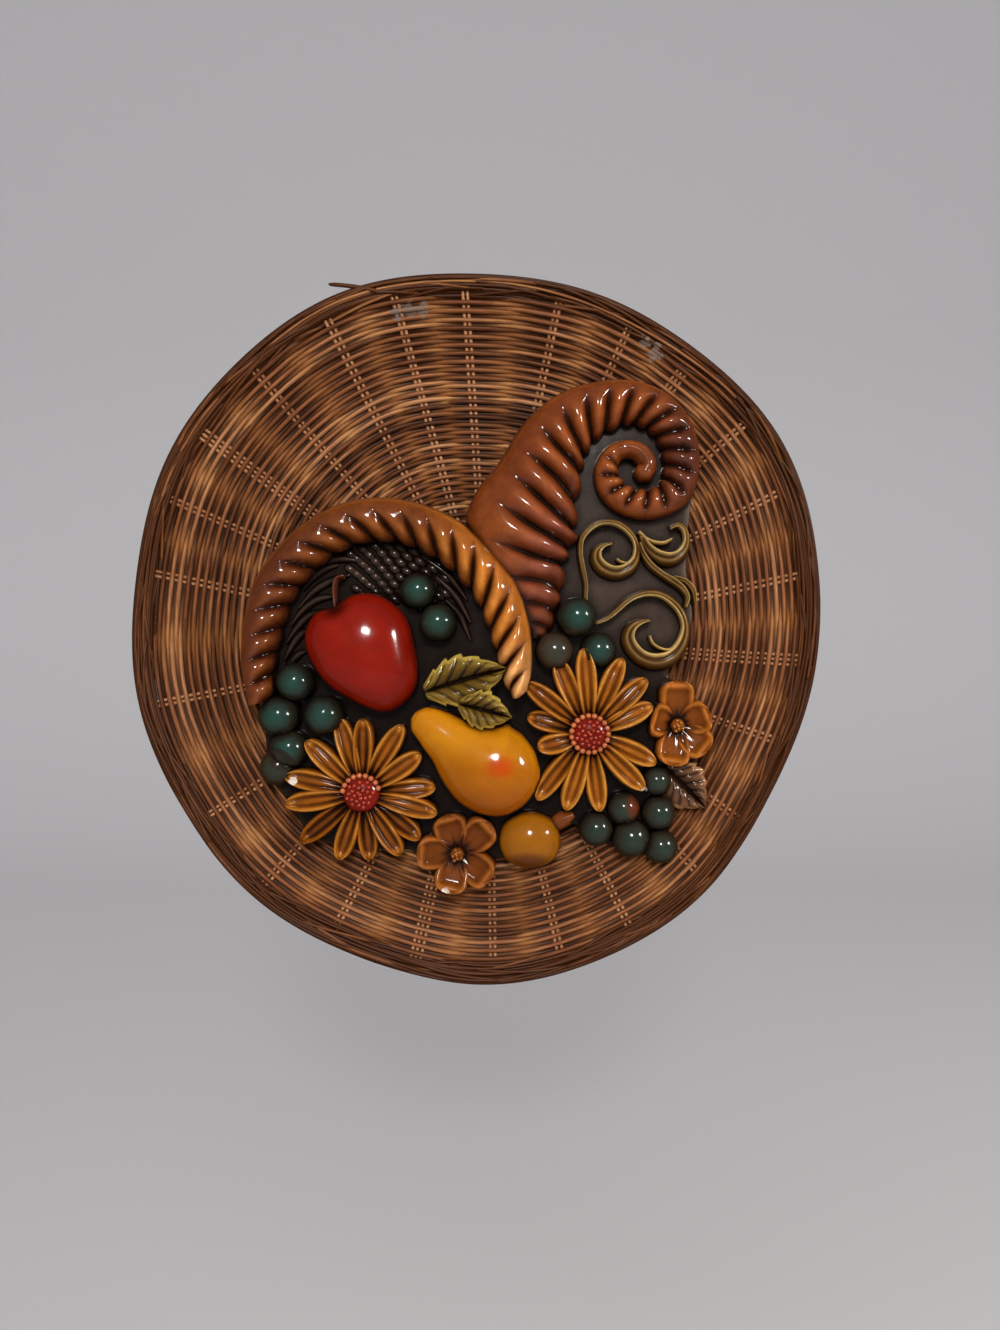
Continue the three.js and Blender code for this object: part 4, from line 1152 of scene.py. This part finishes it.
class Relief:
    """Heights of the whole relief over a grid, seen from the front."""

    STEP = 0.8

    def __init__(self, all_parts):
        vertices = np.concatenate([v for parts in all_parts for v in parts.vertices])
        faces = []
        start = 0
        for parts in all_parts:
            faces.extend([i + start for i in face] for face in parts.faces)
            start += parts.count
        tree = BVHTree.FromPolygons(vertices.tolist(), faces)
        self.xs = np.arange(-135, 140, self.STEP)
        self.ys = np.arange(-152, 143, self.STEP)
        self.grid = np.zeros((len(self.xs), len(self.ys)))
        down = Vector((0, 0, -1))
        for i, x in enumerate(self.xs):
            for j, y in enumerate(self.ys):
                hit = tree.ray_cast(Vector((x, y, 60)), down)[0]
                if hit is not None:
                    self.grid[i, j] = hit.z

    def above_blur(self, reach, places):
        """How far each place lies above the relief's blurred surface."""
        grid = blurred(self.grid, reach, self.STEP)
        fx = np.clip((places[:, 0] - self.xs[0]) / self.STEP, 0, len(self.xs) - 1.001)
        fy = np.clip((places[:, 1] - self.ys[0]) / self.STEP, 0, len(self.ys) - 1.001)
        i = fx.astype(int)
        j = fy.astype(int)
        a = fx - i
        b = fy - j
        left = grid[i, j] * (1 - b) + grid[i, j + 1] * b
        right = grid[i + 1, j] * (1 - b) + grid[i + 1, j + 1] * b
        return places[:, 2] - (left * (1 - a) + right * a)


def glaze_colours(parts, relief):
    """Each part's own glaze, thin on the edges, pooled and washed brown in the hollows, with painted
    highlights on what stands up and painted shade in the hollows and next to the raised forms.
    """
    places = np.concatenate(parts.vertices)
    shades = np.concatenate(parts.shades)
    index = {name: i for i, name in enumerate(GLAZES)}
    kind = np.array([index[name] for name in parts.glazes])
    body, edge, pooled_and_shaded = (np.array([srgb(*glaze[i]) for glaze in GLAZES.values()])[kind] for i in range(3))
    x = places[:, 0] / SHARE
    y = places[:, 1] / SHARE
    varied_body = varied(body, kind, index, x, y, places[:, 2] / CASTING_DEPTH)
    edge = edge * varied_body / body
    body = varied_body
    # Partly glaze thinning and pooling, partly painted highlight and shade: points above their close
    # surroundings lighten, and points below them darken.
    shades = shades + 0.4 * np.clip(relief.above_blur(1.4, places) / 0.8, -1, 1)
    # Partly brown wash, partly painted shade: points sunk well below their broad surroundings, as on the
    # ground next to the raised forms, darken toward the wash colour.
    deep = unit((-relief.above_blur(5.0, places) - 0.6) / 4.0)
    scroll_ground = (kind == index["ground"]) & (x > 17) & (y > -7)
    deep = np.where(scroll_ground | (kind == index["scroll"]), 0.5 * deep, deep)
    colour = body + (edge - body) * unit(shades)[:, None]
    colour = colour + (pooled_and_shaded - colour) * unit(-shades)[:, None]
    colour = colour + (WASH_AND_PAINTED_SHADE - colour) * (0.85 * deep)[:, None]
    return np.column_stack([unit(colour), np.ones(len(colour))])


def varied(body, kind, index, x, y, level):
    """Broad changes of colour within a glaze."""
    def spot(cx, cy, rx, ry, power=4):
        return np.exp(-np.hypot((x - cx) / rx, (y - cy) / ry) ** power)

    rim = np.zeros(len(x))
    for gx, gy, radius, _ in GRAPES:
        gap = np.hypot(x - gx, y - gy) / radius
        rim = np.where(gap < 1.15, np.maximum(rim, gap), rim)
    mouth = unit((x + 40) / 10) * unit((8 - x) / 10) * unit((y + 16) / 8) * (y < 22)
    washes = [
        ("horn", 0.6 * spot(14, 12, 9, 12, 2), (112, 52, 38)),
        ("horn", 0.5 * spot(3, 15, 5, 10, 2), (158, 80, 26)),
        ("horn", 0.9 * spot(40, 33, 6.5, 11, 2), (64, 27, 17)),
        ("horn", (0.62 - level) * 1.2 * (np.hypot(x - 30, y - 29) > 7), (76, 34, 16)),
        ("ring", unit((-x - 20) / 18) * 0.85, (82, 35, 14)),
        ("ring", unit((x + 10) / 12) * 0.8, (160, 86, 28)),
        ("ring", unit((-y - 1) / 8) * (x > 0), (168, 106, 60)),
        ("grape", unit((rim - 0.2) / 0.6) * 0.9, (34, 27, 18)),
        ("grape", 0.5 * ((y < -28) & (x > 15)), (46, 38, 28)),
        ("grape", 0.7 * ((x < -37) & (y < -24)), (50, 40, 28)),
        ("grape", 0.85 * spot(30.6, -34.6, 1.6, 2.2), (96, 40, 20)),
        ("grape", 0.5 * ((np.abs(x - 15.2) < 4) & (np.abs(y + 4.4) < 4)), (70, 48, 34)),
        ("pear", unit((y + 27) / 6) * 0.75, (208, 136, 14)),
        ("pear", 0.85 * spot(4.6, -26.3, 2.6, 2.0), (190, 66, 8)),
        ("pear", unit((-y - 29) / 6) * 0.75, (158, 76, 8)),
        ("pear", unit((-x - 6) / 6) * 0.5, (176, 92, 10)),
        ("flower", 0.5 * (y < -34), (98, 46, 12)),
        ("small_fruit", 0.85 * spot(10, -45.2, 4.4, 2.0), (84, 38, 12)),
        ("ground", mouth, (34, 24, 18)),
        ("ground", unit((-y - 10) / 6), (32, 20, 13)),
        ("ground", unit((x - 14) / 6) * unit((y + 8) / 6), (77, 63, 55)),
    ]
    for name, amount, colour in washes:
        part = np.where(kind == index[name], unit(amount), 0.0)[:, None]
        body = body + (srgb(*colour) - body) * part
    return body


def casting(name, parts, relief, material):
    """A piece of the casting, painted in its own glaze colours."""
    vertices = np.concatenate(parts.vertices)
    placed = np.column_stack([vertices[:, 0], -(CASTING_BACK + vertices[:, 2]), vertices[:, 1]]) * MM
    piece = make_object(name, placed.tolist(), parts.faces, material)
    layer = piece.data.attributes.new("glaze", "FLOAT_COLOR", "POINT")
    layer.data.foreach_set("color", glaze_colours(parts, relief).astype(np.float32).ravel())
    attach(piece, "root")
    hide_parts("cornucopia_casting")


def glaze_material(name, roughness, coat, mottling):
    """Glossy glaze over the painted colours, with fine mottling and bare chips."""
    nodes = MaterialNodes(name)
    place = nodes.place()
    mottle = nodes.noise(place, 100.0, Detail=8.0, Roughness=0.68)
    strength = nodes.mapped(mottle, 0.3, 0.7, 1 - mottling, 1 + mottling / 2)
    glaze = nodes.attribute("glaze", "Color")
    shaded = nodes.add("VectorMath", {0: glaze, "Scale": strength}, operation="SCALE").outputs["Vector"]
    chips = [(x * SHARE, y * SHARE, radius) for x, y, radius in CHIPS]
    ripple = nodes.bump(nodes.noise(place, 120.0, Detail=3.0), 0.15, 0.0006)
    nodes.set(nodes.shader, {
        "Base Color": nodes.spots(place, shaded, chips, CHIP_COLOUR, 700.0, 1.6, 0.3),
        "Roughness": roughness,
        "Specular IOR Level": 0.01,
        "Coat Weight": coat,
        "Coat Roughness": 0.13,
        "Normal": ripple,
        "Coat Normal": ripple,
    })
    return nodes.material


# Bare white chips on two petal tips and a small flower: [x, y in shares, radius in millimetres]
CHIPS = [(-35.5, -29.6, 2.0), (32.6, -31.4, 1.6), (-6.0, -51.2, 2.2)]
CHIP_COLOUR = srgb(226, 214, 200)


# Stage: a pale floor that curves up into a backdrop, soft light and the camera

FLOOR_HEIGHT = -0.5
BACKDROP_DISTANCE = 3.4
BACKDROP_CURVE = 1.8
BACKDROP_HEIGHT = 12.0
STAGE_REACH = 30.0
STAGE_COLOUR = srgb(213, 211, 212)


def stage():
    nodes = MaterialNodes("pale_stage")
    nodes.set(nodes.shader, {"Base Color": STAGE_COLOUR, "Roughness": 1.0, "Specular IOR Level": 0.0})
    bend = BACKDROP_DISTANCE - BACKDROP_CURVE
    profile = [(-STAGE_REACH, FLOOR_HEIGHT)]
    for turn in np.linspace(0, np.pi / 2, 17):
        profile.append((
            bend + BACKDROP_CURVE * math.sin(turn),
            FLOOR_HEIGHT + BACKDROP_CURVE * (1 - math.cos(turn)),
        ))
    profile.append((BACKDROP_DISTANCE, BACKDROP_HEIGHT))
    vertices = [(x, y, z) for y, z in profile for x in (-STAGE_REACH, STAGE_REACH)]
    faces = [(2 * i, 2 * i + 1, 2 * i + 3, 2 * i + 2) for i in range(len(profile) - 1)]
    make_object("floor", vertices, faces, nodes.material)


def place_lamp(name, light, place):
    lamp = bpy.data.objects.new(name, light)
    lamp.location = place
    lamp.rotation_euler = (-Vector(place)).to_track_quat("-Z", "Y").to_euler()
    bpy.context.scene.collection.objects.link(lamp)
    return lamp


def small_light(name, place, size, power, colour, glint=False):
    """A round lamp. A glint is seen in the glaze only, and lights nothing."""
    light = bpy.data.lights.new(name, "AREA")
    light.shape = "DISK"
    light.size = size
    light.energy = power
    light.color = colour
    place_lamp(name, light, place).visible_diffuse = not glint


def soft_light(name, place, strength, angle):
    """Broad even light that adds no reflection of its own."""
    light = bpy.data.lights.new(name, "SUN")
    light.energy = strength
    light.angle = math.radians(angle)
    place_lamp(name, light, place).visible_glossy = False


def lights():
    glint = (1.0, 0.97, 0.93)
    small_light("front_light", (0.03, -1.5, 0.6), 0.3, 10, (1.0, 0.96, 0.91))
    small_light("right_light", (1.45, -0.85, 0.5), 0.28, 9, (1.0, 0.95, 0.88))
    small_light("front_glint", (0.03, -1.5, 0.62), 0.3, 30, glint, glint=True)
    small_light("right_glint", (1.45, -0.85, 0.52), 0.28, 24, glint, glint=True)
    soft_light("soft_front", (-0.35, -1.0, 0.75), 1.0, 70)
    world = bpy.data.worlds.new("soft_room")
    world.use_nodes = True
    background = world.node_tree.nodes["Background"]
    background.inputs["Color"].default_value = (0.95, 0.96, 1.0, 1)
    background.inputs["Strength"].default_value = 0.3
    bpy.context.scene.world = world


def camera():
    data = bpy.data.cameras.new("camera")
    data.lens = CAMERA_LENS
    data.sensor_width = CAMERA_SENSOR
    data.clip_start = 0.01
    eye = bpy.data.objects.new("camera", data)
    eye.location = CAMERA_PLACE
    eye.rotation_euler = (math.pi / 2, 0, 0)
    bpy.context.scene.collection.objects.link(eye)
    bpy.context.scene.camera = eye


camera()
stage()
lights()
bpy.context.scene.view_settings.view_transform = "Standard"

reed = reed_material("varnished_reed", 0.05)
border_reed = reed_material("varnished_border_reed", 0.08)
first_ring = ROWS // 3
second_ring = 2 * ROWS // 3
weave_rows(0, first_ring, 5, "reed_rows_inner", reed)
weave_rows(first_ring, second_ring, 7, "reed_rows_middle", reed)
weave_rows(second_ring, ROWS, 9, "reed_rows_outer", reed)
stakes(reed)
hub_coil(reed)
border(border_reed)

# Pieces of the casting: what they hold, then their glaze's roughness, gloss and mottling
CASTING_PIECES = {
    "glaze_ground": ((add_ground, add_scrolls, add_mouth_weave), ("satin_glaze", 0.5, 0.22, 0.3)),
    "glaze_horn": ((add_horn, add_ring), ("mottled_glaze", 0.35, 0.45, 0.36)),
    "glaze_fruit": ((add_fruit, add_leaves), ("clear_glaze", 0.3, 0.32, 0.16)),
    "glaze_flowers": ((add_daisies, add_small_flowers), ("petal_glaze", 0.4, 0.24, 0.36)),
}
casting_parts = {}
for name, (forms, _) in CASTING_PIECES.items():
    casting_parts[name] = Parts()
    for add_form in forms:
        add_form(casting_parts[name])
relief = Relief(casting_parts.values())
for name, (_, glaze) in CASTING_PIECES.items():
    casting(name, casting_parts[name], relief, glaze_material(*glaze))
